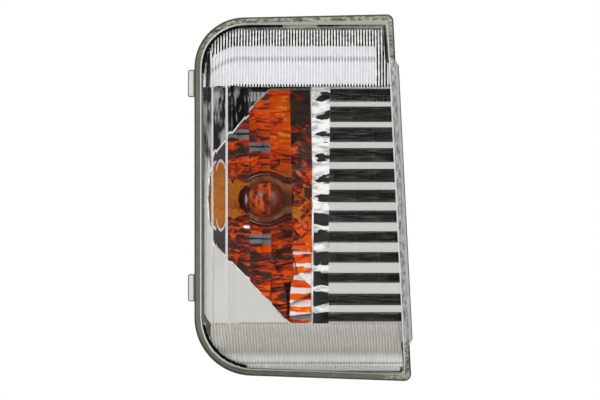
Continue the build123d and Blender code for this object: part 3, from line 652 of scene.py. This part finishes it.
def moulded_housing():
    """ASA, injection moulded with a fine spark texture: satin and slightly uneven."""
    material, add = new_material("moulded_grey_asa")
    where = place(add)
    cloud = add("TexNoise", {"Vector": where, "Scale": 1 / (14 * MM), "Detail": 4.0})[0]
    cloud = add("MapRange", (cloud, 0.35, 0.65))[0]
    base = finish("housing")
    moulded = add(
        "Mix", {0: cloud, 6: shaded(base, 0.94), 7: shaded(base, 1.06)}, data_type="RGBA"
    )[2]
    # The shelf under the bands is paler than the rest of the housing
    level = add("SeparateXYZ", (where,))["Y"]
    on_shelf = add("Math", (level, SHELF_LEVEL * MM, 0.3 * MM), operation="COMPARE")[0]
    tint = add("Mix", {0: on_shelf, 6: moulded, 7: finish("shelf")}, data_type="RGBA")[2]
    grain = add("TexNoise", {"Vector": where, "Scale": 1 / (0.35 * MM)})[0]
    shader = add(
        "BsdfPrincipled",
        {
            "IOR": 1.52, "Base Color": tint,
            "Roughness": add("MapRange", (cloud, 0, 1, 0.42, 0.56))[0],
            "Normal": add("Bump", {"Height": grain, "Distance": 0.03 * MM, "Strength": 0.6})[0],
        },
    )
    add("OutputMaterial", {"Surface": shader[0]})
    return material


def sealant():
    """Polyurethane sealant, squeezed out and set: soft sheen with small swellings."""
    material, add = new_material("set_polyurethane_sealant")
    where = place(add)
    swell = add("TexNoise", {"Vector": where, "Scale": 1 / (1.2 * MM)})[0]
    base = finish("sealant")
    shader = add(
        "BsdfPrincipled",
        {
            "Roughness": 0.35, "IOR": 1.5,
            "Base Color": add(
                "Mix", {0: swell, 6: shaded(base, 0.75), 7: shaded(base, 1.2)}, data_type="RGBA"
            )[2],
            "Normal": add("Bump", {"Height": swell, "Distance": 0.1 * MM})[0],
        },
    )
    add("OutputMaterial", {"Surface": shader[0]})
    return material


def amber_glass():
    """Soda-lime glass under amber lacquer: glossy ochre to orange, with dark swirls and a right
    half in painted shade.
    """
    material, add = new_material("amber_lacquered_glass")
    swirl = add(
        "TexNoise",
        {
            "Vector": place(add, (1, 0.5, 0.35)), "Scale": 1 / (3.2 * MM), "Detail": 4.0,
            "Roughness": 0.62,
        },
    )[0]
    tint = layered(
        add, finish("amber"), swirl, (0.52, 0.66, finish("glow_ochre")),
        (0.5, 0.42, linear("#59240d")),
    )
    # Painted shade: the right half is darker than the left one
    x = add("SeparateXYZ", (place(add),))["X"]
    side = add("MapRange", (x, 0.6 * MM, 1.2 * MM, 0.0, 0.86))[0]
    tint = add("Mix", {0: side, 6: tint, 7: linear("#5d2112")}, data_type="RGBA")[2]
    shader = add(
        "BsdfPrincipled",
        {
            "Roughness": 0.05, "IOR": 1.5, "Transmission Weight": 0.25, "Base Color": tint,
            "Normal": add("Bump", {"Height": swirl, "Distance": 0.25 * MM, "Strength": 0.4})[0],
        },
    )
    add("OutputMaterial", {"Surface": shader[0]})
    return material


def moulded_holder():
    """Polyamide 66 with glass fibre, moulded: near-black satin with a faint fibre mottle, and
    painted amber light round the bulb.
    """
    material, add = new_material("moulded_black_polyamide")
    where = place(add)
    mottle = add("TexNoise", {"Vector": where, "Scale": 1 / (0.8 * MM), "Detail": 3.0})[0]
    base = finish("holder")
    plain = add("Mix", {0: mottle, 6: shaded(base, 0.8), 7: shaded(base, 1.5)}, data_type="RGBA")[2]
    # Painted light: amber light that passed the glass, painted on the face round the bulb
    level = add("SeparateXYZ", (where,))["Y"]
    in_front = add("MapRange", (level, 22.2 * MM, 21.8 * MM))[0]
    rings = add("MapRange", (off_axis(add), 8.6 * MM, 8.9 * MM))[0]
    spill = add(
        "TexNoise",
        {
            "Vector": place(add, (1, 1, 0.5)), "Scale": 1 / (2.6 * MM), "Detail": 4.0,
            "Roughness": 0.6,
        },
    )[0]
    spill = layered(add, linear("#ad5016"), spill, (0.4, 0.6, linear("#e78e27")))
    amber_light = add("Mix", {0: rings, 6: linear("#bc5519"), 7: spill}, data_type="RGBA")[2]
    tint = add("Mix", {0: in_front, 6: plain, 7: amber_light}, data_type="RGBA")[2]
    shader = add(
        "BsdfPrincipled",
        {
            "IOR": 1.53, "Base Color": tint,
            "Roughness": add("MapRange", (mottle, 0.3, 0.7, 0.38, 0.52))[0],
            "Normal": add("Bump", {"Height": mottle, "Distance": 0.02 * MM, "Strength": 0.5})[0],
        },
    )
    add("OutputMaterial", {"Surface": shader[0]})
    return material


def moulded_rubber():
    """EPDM, compression moulded: matt black with a powdery bloom."""
    material, add = new_material("moulded_epdm_rubber")
    bloom = add("TexNoise", {"Vector": place(add), "Scale": 1 / (5 * MM), "Detail": 4.0})[0]
    base = finish("rubber")
    tint = layered(add, base, bloom, (0.45, 0.75, shaded(base, 2.6)))
    shader = add("BsdfPrincipled", {"Base Color": tint, "Roughness": 0.72, "IOR": 1.5})
    add("OutputMaterial", {"Surface": shader[0]})
    return material


def stamped_brass():
    """Brass strip, stamped and bent: warm metal with fine rolling lines along each blade."""
    material, add = new_material("stamped_brass")
    lines = add("TexNoise", {"Vector": place(add, (1, 0.08, 1)), "Scale": 1 / (0.15 * MM)})[0]
    shader = add(
        "BsdfPrincipled",
        {
            "Base Color": finish("brass"), "Metallic": 1.0,
            "Roughness": add("MapRange", (lines, 0.3, 0.7, 0.22, 0.38))[0],
            "Normal": add("Bump", {"Height": lines, "Distance": 0.01 * MM, "Strength": 0.6})[0],
        },
    )
    add("OutputMaterial", {"Surface": shader[0]})
    return material


def plated_steel(name, size):
    """Steel, drawn or turned and zinc plated: grey metal with a fine even grain of that size."""
    material, add = new_material(name)
    grain = add("TexNoise", {"Vector": place(add), "Scale": 1 / size})[0]
    shader = add(
        "BsdfPrincipled",
        {
            "Base Color": finish("steel"), "Metallic": 1.0,
            "Roughness": add("MapRange", (grain, 0.3, 0.7, 0.24, 0.42))[0],
        },
    )
    add("OutputMaterial", {"Surface": shader[0]})
    return material


def mirrored_studio(add, way):
    """What mirrors see of the studio in a direction: a card, soft boxes and paper, else dark."""
    x, y, _ = add("SeparateXYZ", (way,))
    # Two tall soft boxes, one on each side
    path = add("LightPath")
    behind_lens = add("MapRange", (path["Transmission Depth"], 2.4, 2.6))[0]
    box = {0: behind_lens, 6: linear("#898988"), 7: linear("#fffffd")}
    box = add("Mix", box, data_type="RGBA")[2]
    off_centre = add("Math", (x,), operation="ABSOLUTE")[0]
    lit = layered(add, linear("#191919"), off_centre, (0.26, 0.36, box))
    # The white paper behind the lamp
    lit = layered(add, lit, y, (0.1, 0.3, linear("#f3f3f3")))
    # The white card round the camera, which shows in every face that is square to it. Card and
    # boxes are shaded for the lens's own faces, so that they don't fog what lies behind them
    card = add(
        "Mix", {0: behind_lens, 6: linear("#505050"), 7: linear("#e2e2df")},
        data_type="RGBA",
    )[2]
    return layered(add, lit, y, (-0.974, -0.982, card))


def pale_floor():
    """Seamless studio paper: plain and pale, white to the camera and unseen by mirrors."""
    material, add = new_material("seamless_studio_paper")
    paper = add("BsdfPrincipled", {"Base Color": finish("floor"), "Roughness": 0.9})
    white = add("Emission", {"Strength": 1.0})
    path = add("LightPath")
    seen = add("MixShader", (path["Is Camera Ray"], paper[0], white[0]))
    glossy = add("MapRange", (path["Glossy Depth"], 0.4, 0.6))[0]
    not_diffuse = add("MapRange", (path["Diffuse Depth"], 0.6, 0.4))[0]
    in_mirror = add("Math", (glossy, not_diffuse), operation="MULTIPLY")[0]
    shader = add("MixShader", (in_mirror, seen[0], add("BsdfTransparent")[0]))
    add("OutputMaterial", {"Surface": shader[0]})
    return material


# Meshes


def merged(node):
    """Mesh in the making from a CAD node, with its loose triangles joined."""
    build = bmesh.new()
    build.from_mesh(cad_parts[node].data)
    bmesh.ops.remove_doubles(build, verts=build.verts, dist=0.001 * MM)
    return build


def smooth_up_to(build, angle):
    """Smooth shading across edges flatter than an angle in degrees, sharp elsewhere."""
    for face in build.faces:
        face.smooth = True
    for edge in build.edges:
        edge.smooth = edge.is_manifold and edge.calc_face_angle(pi) < radians(angle)


def piece_from(build, name):
    """New object from a mesh in the making, which ends here."""
    mesh = bpy.data.meshes.new(name)
    build.to_mesh(mesh)
    build.free()
    piece = bpy.data.objects.new(name, mesh)
    bpy.context.scene.collection.objects.link(piece)
    return piece


def smooth_copy(node, name, angle):
    """Copy of a CAD node, joined and smooth up to an angle in degrees."""
    build = merged(node)
    smooth_up_to(build, angle)
    return piece_from(build, name)


def dress(piece, material):
    """Gives a piece one material in all its slots."""
    if not piece.material_slots:
        piece.data.materials.append(material)
    for slot in piece.material_slots:
        slot.material = material


def sides(outline):
    """Sides of an outline in millimetres: start, end, and the way that points to their right."""
    for (x1, z1), (x2, z2) in zip(outline, outline[1:] + outline[:1]):
        right = Vector((z2 - z1, 0, x1 - x2)).normalized()
        yield Vector((x1, 0, z1)), Vector((x2, 0, z2)), right


def divide(build, spot, way, **settings):
    """Cuts a mesh in two along a plane through a spot in metres, square to a way."""
    bmesh.ops.bisect_plane(
        build, geom=[*build.verts, *build.edges, *build.faces], plane_co=spot, plane_no=way,
        **settings,
    )


def thicken(build, depth):
    """Gives an open mesh a back at a depth in millimetres behind its front."""
    grown = bmesh.ops.extrude_face_region(build, geom=build.faces)["geom"]
    backs = [part for part in grown if isinstance(part, bmesh.types.BMVert)]
    bmesh.ops.translate(build, verts=backs, vec=(0, depth * MM, 0))
    bmesh.ops.recalc_face_normals(build, faces=build.faces)


def tube(name, points, radius, closed=False):
    """Round rod along a path."""
    curve = bpy.data.curves.new(name, "CURVE")
    curve.dimensions = "3D"
    curve.bevel_depth = radius
    curve.bevel_resolution = 2
    curve.use_fill_caps = True
    line = curve.splines.new("POLY")
    line.points.add(len(points) - 1)
    for point, spot in zip(line.points, points):
        point.co = (*spot, 1)
    line.use_cyclic_u = closed
    holder = bpy.data.objects.new(name, curve)
    mesh = bpy.data.meshes.new_from_object(holder)
    bpy.data.objects.remove(holder)
    bpy.data.curves.remove(curve)
    build = bmesh.new()
    build.from_mesh(mesh)
    bpy.data.meshes.remove(mesh)
    smooth_up_to(build, 50)
    return piece_from(build, name)


def stand_in(piece, body, slot, *nodes):
    """The piece rides on a body and stands for CAD nodes, if any; its slot is not used."""
    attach(piece, body)
    if nodes:
        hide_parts(*nodes)


def inner_level(x, climb, radius, dip):
    """Height of the lens's inner face at a place on a band, in millimetres, with a flute's dip."""
    skin = LENS_SKIN - dip
    dome = LENS_FRONT - radius + ((radius - skin) ** 2 - climb ** 2) ** 0.5
    if x > TURN_START:
        return dome
    turn = LENS_FRONT - TURN_RADIUS
    turn += ((TURN_RADIUS - skin) ** 2 - (x - TURN_START) ** 2) ** 0.5
    return min(dome, turn)


def rim_inset(x, z):
    """How far inside the rim's outline a place lies, in millimetres: below zero outside it."""
    insets = [way.x * (x - start.x) + way.z * (z - start.z) for start, _, way in sides(RIM)]
    inset = min(insets)
    for number, radius in enumerate(RIM_RADII):
        before, after = radius - insets[number - 1], radius - insets[number]
        if before > 0 and after > 0:
            inset = radius - (before ** 2 + after ** 2) ** 0.5
    return inset


def cut_inside_rim(build, inset):
    """Divides a mesh along lines inside the rim's sides and its round left corners."""
    for start, _, inwards in sides(RIM):
        divide(build, (start + inwards * inset) * MM, inwards)
    for (x, z), radius, turn in ((RIM[0], RIM_RADII[0], 90), (RIM[3], RIM_RADII[3], 180)):
        centre = Vector((x + radius, 0, z - radius if turn == 90 else z + radius))
        for step in range(1, 7):
            angle = radians(turn + step * 90 / 7)
            outwards = Vector((cos(angle), 0, sin(angle)))
            divide(build, (centre + outwards * (radius - inset)) * MM, outwards)


def flute_cutter(row):
    """Closed form whose front has one rounded ridge for each flute, to be cut from the lens."""
    steps, climbs = 6, 16
    # The ridges keep clear of the band's start and of the end of the curved front
    start_gap, end_share, least_dip = 0.4, 0.97, 0.03
    build = bmesh.new()
    bmesh.ops.create_grid(build, x_segments=row["count"] * steps, y_segments=climbs, size=1)
    for vertex in build.verts:
        across = (vertex.co.x + 1) / 2 * row["count"]
        share = across % 1.0 - 0.5 if abs(across - round(across)) > 1e-4 else 0.5
        dip = least_dip + FLUTE_DEPTH * (1 - 4 * share * share)
        turn = radians(FLUTE_TURN) * (vertex.co.y + 1) / 2
        climb = start_gap + (row["radius"] - LENS_SKIN) * sin(turn) * end_share
        x = FLUTE_LEFT + across * FLUTE_PITCH + row["lean"] * climb
        level = inner_level(x, climb, row["radius"], dip)
        vertex.co = (x * MM, -level * MM, (row["start"] + row["way"] * climb) * MM)
    thicken(build, 1.2)
    return piece_from(build, "flute_cutter")


def bowl_facets(build):
    """Curved facets in the bowl, each a patch of a dish that gathers light from one spot."""
    bowl = BVHTree.FromBMesh(build)
    # A flat grid, wound into rings whose corners wander, apart from those at the bowl's hole
    facets = bmesh.new()
    last = len(FACET_RINGS) - 1
    bmesh.ops.create_grid(facets, x_segments=FACET_SECTORS, y_segments=last, size=1)
    for vertex in facets.verts:
        sector = round((vertex.co.x + 1) / 2 * FACET_SECTORS) % FACET_SECTORS
        ring = round((vertex.co.y + 1) / 2 * last)
        spin = Random(100 * ring + sector)
        wander = 0.5 if ring else 0.0
        turn = tau * (sector + wander * (spin.random() - 0.5)) / FACET_SECTORS
        reach = FACET_RINGS[ring] * (1 + 0.2 * wander * (spin.random() - 0.5)) * MM
        vertex.co = (reach * cos(turn), 0, reach * sin(turn))
    bmesh.ops.remove_doubles(facets, verts=facets.verts, dist=0.01 * MM)
    cell = facets.faces.layers.int.new("cell")
    for number, face in enumerate(facets.faces):
        face[cell] = number
    bmesh.ops.subdivide_edges(facets, edges=facets.edges, cuts=2, use_grid_fill=True)
    for x in STRIP_EDGES:
        divide(facets, (x * MM, 0, 0), (1, 0, 0))
    for start, _, outwards in sides(BOWL_RIM):
        divide(facets, start * MM, outwards, clear_outer=True)
    # Each facet is split from its neighbours and where a strip of the lens ends
    for face in facets.faces:
        strip = sum(face.calc_center_median().x > x * MM for x in STRIP_EDGES)
        face[cell] = len(STRIP_GLOW) * face[cell] + strip
    borders = [
        edge for edge in facets.edges if len({face[cell] for face in edge.link_faces}) > 1
    ]
    bmesh.ops.split_edges(facets, edges=borders)
    glow = facets.faces.layers.float.new("glow")
    patches = {}
    for face in facets.faces:
        patches.setdefault(face[cell], []).append(face)
    for number, members in patches.items():
        draw = Random(number)
        corners = dict.fromkeys(vertex for face in members for vertex in face.verts)
        seats = {vertex: seat_in_bowl(bowl, vertex.co) for vertex in corners}
        centre = sum((vertex.co for vertex in corners), Vector()) / len(corners)
        centre.y = sum(seats.values()) / len(seats)
        # How strongly its painted reflection glows, from its strip and its height in the bowl
        low, middle, high = STRIP_GLOW[number % len(STRIP_GLOW)]
        climb = max(-1.0, min(1.0, centre.z / (GLOW_HEIGHT * MM)))
        level = middle + (high - middle) * max(climb, 0.0) + (low - middle) * max(-climb, 0.0)
        level += draw.uniform(-GLOW_SPREAD, GLOW_SPREAD)
        bright = draw.random() < BRIGHT_SHARE
        for face in members:
            face[glow] = BRIGHT_GLOW if bright else level
        # A bright one looks out to the studio, the others to a spot by the bulb
        if bright:
            spot = centre + Vector((draw.choice((-0.3, 0.3)), -0.3, draw.uniform(-0.05, 0.05)))
        else:
            spot = Vector((draw.uniform(-3, 3), draw.uniform(-5, 9), draw.uniform(-3, 3))) * MM
        # The dish has its focus at the spot, and is moved back until it clears the bowl's surface
        path = centre.y + (spot - centre).length
        heights = {}
        for vertex in corners:
            aside = (vertex.co.x - spot.x) ** 2 + (vertex.co.z - spot.z) ** 2
            heights[vertex] = (aside + spot.y ** 2 - path ** 2) / (2 * (spot.y - path))
        lift = min(seats[vertex] - heights[vertex] for vertex in corners) - 0.1 * MM
        for vertex, height in heights.items():
            vertex.co.y = height + lift
    thicken(facets, FACET_DEPTH)
    smooth_up_to(facets, 28)
    return piece_from(facets, "bowl_facets")


def bowl_bead(build):
    """Thin rounded bead along the bowl's edge, which shows a painted highlight all round."""
    reflector = BVHTree.FromBMesh(build)
    step = 1.0
    spots = []
    for start, end, outwards in sides(BOWL_RIM):
        for number in range(round((end - start).length / step)):
            spot = (start + (end - start).normalized() * number * step + outwards * 0.5) * MM
            spot.y = seat_in_bowl(reflector, spot)
            spots.append(spot)
    return tube("bowl_bead", spots, sizes().bowl_bead, closed=True)


def hole_edge():
    """Rounded edge round the bowl's hole, in front of the bulb holder."""
    reach, level, radius = HOLE_EDGE
    turns = [tau * number / 64 for number in range(64)]
    spots = [(reach * cos(turn) * MM, level * MM, reach * sin(turn) * MM) for turn in turns]
    return tube("hole_edge", spots, radius * MM, closed=True)


def seat_in_bowl(bowl, spot):
    """How far back the bowl's surface lies behind a spot."""
    hit = bowl.ray_cast(Vector((spot.x, -0.05, spot.z)), Vector((0, 1, 0)))[0]
    return hit.y if hit else 0.0


class LampPiece:
    """What the operators of the lamp's pieces share."""

    bl_options = {"REGISTER", "UNDO"}


class LAMP_OT_lens(LampPiece, bpy.types.Operator):
    """Clear lens with smooth fronts and fluted bands."""

    bl_idname = "lamp.lens"
    bl_label = "Outer Lens"

    def execute(self, context):
        build = merged("outer_lens")
        body = piece_from(build, "lens_before_flutes")
        for rows in FLUTES:
            cutter = flute_cutter(rows)
            cut = body.modifiers.new("flutes", "BOOLEAN")
            cut.operation = "DIFFERENCE"
            cut.solver = "EXACT"
            cut.object = cutter
        solved = body.evaluated_get(context.evaluated_depsgraph_get())
        build = bmesh.new()
        build.from_mesh(solved.data)
        for cut in body.modifiers:
            bpy.data.objects.remove(cut.object)
        bpy.data.objects.remove(body)
        bmesh.ops.remove_doubles(build, verts=build.verts, dist=0.002 * MM)
        divide(build, (-FLANGE_LEFT * MM, 0, 0), (1, 0, 0))
        cut_inside_rim(build, RIM_BAND)
        cut_inside_rim(build, RIM_BAND + RIM_HIGHLIGHT + RIM_GAP_SHADE + 0.4)
        tabs = []
        for face in build.faces:
            levels = [-vertex.co.y / MM for vertex in face.verts]
            in_flange = FLANGE_BACK - 0.01 < min(levels) and max(levels) < FLANGE_FRONT + 0.01
            middle = face.calc_center_median() / MM
            in_band = middle.z > FLUTES[0]["start"] or middle.z < FLUTES[1]["start"]
            in_return = any(low < middle.x < high for low, high in STRIP_RETURNS)
            faces_back = face.normal.y > 0.2
            if middle.x < -FLANGE_LEFT:
                face.material_index = TAB
                if face.normal.y < -0.9:
                    tabs.append(face)
            elif in_flange:
                face.material_index = FLANGE
            elif in_band and faces_back and min(levels) > FLANGE_FRONT:
                face.material_index = FLUTED
            elif in_return and faces_back:
                face.material_index = STEP
        outlines = bmesh.ops.inset_region(
            build, faces=tabs, thickness=0.45 * MM, use_even_offset=True, use_boundary=True
        )
        for face in outlines["faces"]:
            face.material_index = TAB_EDGE
        inset = build.verts.layers.float.new("inset")
        for vertex in build.verts:
            vertex[inset] = rim_inset(vertex.co.x / MM, vertex.co.z / MM)
        smooth_up_to(build, 10)
        lens = piece_from(build, "clear_lens")
        # Tabs and steep steps are opaque with painted light, and the tabs' edges with painted shade
        materials = {
            CLEAR: clear_acrylic(),
            FLANGE: flange_over_sealant(),
            FLUTED: fluted_acrylic(),
            TAB: tab_acrylic("moulded_acrylic_tab", linear("#e7e7e5")),
            TAB_EDGE: tab_acrylic("moulded_acrylic_edge", linear("#6f6f6e")),
            STEP: tab_acrylic("moulded_acrylic_step", linear("#cbcbca")),
        }
        for slot in sorted(materials):
            lens.data.materials.append(materials[slot])
        stand_in(lens, "lamp_body", "lens_clear", "outer_lens")
        return {"FINISHED"}


class LAMP_OT_reflector(LampPiece, bpy.types.Operator):
    """Metallised reflector with its bowl and louvres."""

    bl_idname = "lamp.reflector"
    bl_label = "Reflector"

    def execute(self, context):
        build = merged("reflector")
        smooth_up_to(build, 12)
        facets = bowl_facets(build)
        dress(facets, bowl_facet_aluminium())
        stand_in(facets, "lamp_body", "reflector_metallised")
        aluminium = metallised_reflector()
        bead = bowl_bead(build)
        dress(bead, bright_moulded_edge())
        stand_in(bead, "lamp_body", "reflector_metallised")
        edge = hole_edge()
        dress(edge, aluminium)
        stand_in(edge, "lamp_body", "reflector_metallised")
        mirror = piece_from(build, "louvred_reflector")
        dress(mirror, aluminium)
        stand_in(mirror, "lamp_body", "reflector_metallised", "reflector")
        return {"FINISHED"}


class LAMP_OT_housing(LampPiece, bpy.types.Operator):
    """Housing, sealant, screws and vent cap."""

    bl_idname = "lamp.housing"
    bl_label = "Housing and Trim"

    def execute(self, context):
        dress(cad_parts["rear_housing"], moulded_housing())
        dress(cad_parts["sealing_bead"], sealant())
        dress(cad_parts["reflector_screws"], plated_steel("zinc_plated_steel", 0.4 * MM))
        rubber = moulded_rubber()
        dress(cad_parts["vent_cap"], rubber)
        dress(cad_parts["holder_seal"], rubber)
        return {"FINISHED"}


class LAMP_OT_holder(LampPiece, bpy.types.Operator):
    """Bulb holder with its contacts."""

    bl_idname = "lamp.holder"
    bl_label = "Bulb Holder"

    def execute(self, context):
        dress(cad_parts["bulb_holder"], moulded_holder())
        brass = stamped_brass()
        for node in ("holder_contact_left", "holder_contact_right"):
            dress(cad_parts[node], brass)
        return {"FINISHED"}


class LAMP_OT_bulb(LampPiece, bpy.types.Operator):
    """Amber bulb with its coiled filament."""

    bl_idname = "lamp.bulb"
    bl_label = "Bulb"

    def execute(self, context):
        glass = smooth_copy("bulb_glass", "amber_bulb", 40)
        dress(glass, amber_glass())
        stand_in(glass, "bulb_unit", "bulb_amber", "bulb_glass")
        steel = plated_steel("drawn_nickel_wire", 0.1 * MM)
        dress(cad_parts["bulb_lead_wires"], steel)
        turns, steps, half, level = 13, 12, 2.5 * MM, 1.0 * MM
        reach = sizes().filament_coil
        coil = []
        for number in range(turns * steps + 1):
            along = 2 * half * number / (turns * steps) - half
            turn = tau * number / steps
            coil.append((along, level + reach * cos(turn), reach * sin(turn)))
        filament = tube("coiled_filament", coil, sizes().filament_wire)
        dress(filament, plated_steel("drawn_tungsten_wire", 0.1 * MM))
        stand_in(filament, "bulb_unit", "filament_tungsten", "bulb_filament")
        return {"FINISHED"}


# Stage


def soft_light(name, spot, level):
    """Square lamp that gives a level of light at its target, where 1 shows a colour as written."""
    data = bpy.data.lights.new(name, "AREA")
    data.shape = "SQUARE"
    data.size = LIGHT_SIZE
    away = Vector(spot) - Vector(LIGHT_TARGET)
    data.energy = level * pi * pi * away.length_squared
    lamp = bpy.data.objects.new(name, data)
    lamp.location = spot
    lamp.rotation_euler = away.to_track_quat("Z", "Y").to_euler()
    lamp.visible_glossy = False
    bpy.context.scene.collection.objects.link(lamp)


def studio_world():
    """White behind the lamp, plain light for matt parts, and the mirrored studio for mirrors."""
    world = bpy.data.worlds.new("studio")
    bpy.context.scene.world = world
    world.use_nodes = True
    world.cycles.sampling_method = "NONE"
    world.node_tree.nodes.clear()
    add = partial(add_node, world.node_tree)
    mirrored = mirrored_studio(add, add("TexCoord")["Generated"])
    path = add("LightPath")
    glossy = add("MapRange", (path["Glossy Depth"], 0.4, 0.6))[0]
    diffuse = add("MapRange", (path["Diffuse Depth"], 0.4, 0.6))[0]
    seen = add("Mix", {0: glossy, 6: linear("#ffffff"), 7: mirrored}, data_type="RGBA")[2]
    # More reaches what lies inside the lens, to make up for what its faces hold back
    inside = add("MapRange", (path["Transmission Depth"], 0.4, 0.6))[0]
    plain = add(
        "Mix", {0: inside, 6: (0.75, 0.75, 0.75, 1), 7: (1.6, 1.6, 1.6, 1)}, data_type="RGBA"
    )[2]
    light = add("Mix", {0: diffuse, 6: seen, 7: plain}, data_type="RGBA")[2]
    background = add("Background", {"Strength": 1.0, "Color": light})
    add("OutputWorld", {"Surface": background[0]})


class LAMP_OT_stage(LampPiece, bpy.types.Operator):
    """Pale floor, soft lights, studio world and the camera at the photograph's angle."""

    bl_idname = "lamp.stage"
    bl_label = "Stage"

    def execute(self, context):
        lowest = cad_box[0][2]
        build = bmesh.new()
        bmesh.ops.create_grid(build, x_segments=1, y_segments=1, size=3.0)
        bmesh.ops.translate(build, verts=build.verts, vec=(0, 0, lowest - 0.05 * MM))
        floor = piece_from(build, "floor")
        dress(floor, pale_floor())
        for light in LIGHTS:
            soft_light(*light)
        studio_world()
        camera_data = bpy.data.cameras.new("camera")
        camera = bpy.data.objects.new("camera", camera_data)
        context.scene.collection.objects.link(camera)
        distance = sizes().camera_distance
        camera.location = (sizes().picture_x, -distance, sizes().picture_z)
        camera.rotation_euler = (pi / 2, 0, 0)
        camera_data.sensor_width = 36.0
        camera_data.lens = camera_data.sensor_width * distance / sizes().picture_width
        context.scene.camera = camera
        context.scene.view_settings.view_transform = "Standard"
        context.scene.cycles.max_bounces = 24
        context.scene.cycles.glossy_bounces = 10
        context.scene.cycles.transmission_bounces = 20
        return {"FINISHED"}


class LAMP_PT_panel(bpy.types.Panel):
    """Lists the lamp's pieces and its settings."""

    bl_idname = "LAMP_PT_panel"
    bl_label = "Indicator Lamp"
    bl_space_type = "VIEW_3D"
    bl_region_type = "UI"
    bl_category = "Indicator Lamp"

    def draw(self, context):
        for operator in OPERATORS:
            self.layout.operator(operator.bl_idname)
        for settings in (context.scene.lamp_sizes, context.scene.lamp_finishes):
            box = self.layout.box()
            for name in settings.__annotations__:
                box.prop(settings, name)


OPERATORS = (
    LAMP_OT_stage,
    LAMP_OT_housing,
    LAMP_OT_holder,
    LAMP_OT_bulb,
    LAMP_OT_reflector,
    LAMP_OT_lens,
)
CLASSES = (LampSizes, LampFinishes, *OPERATORS, LAMP_PT_panel)


def register():
    for kind in CLASSES:
        bpy.utils.register_class(kind)
    bpy.types.Scene.lamp_sizes = bpy.props.PointerProperty(type=LampSizes)
    bpy.types.Scene.lamp_finishes = bpy.props.PointerProperty(type=LampFinishes)


def unregister():
    del bpy.types.Scene.lamp_finishes
    del bpy.types.Scene.lamp_sizes
    for kind in reversed(CLASSES):
        bpy.utils.unregister_class(kind)


def main():
    register()
    bpy.ops.lamp.stage()
    bpy.ops.lamp.housing()
    bpy.ops.lamp.holder()
    bpy.ops.lamp.bulb()
    bpy.ops.lamp.reflector()
    bpy.ops.lamp.lens()


if __name__ == "__main__":
    main()
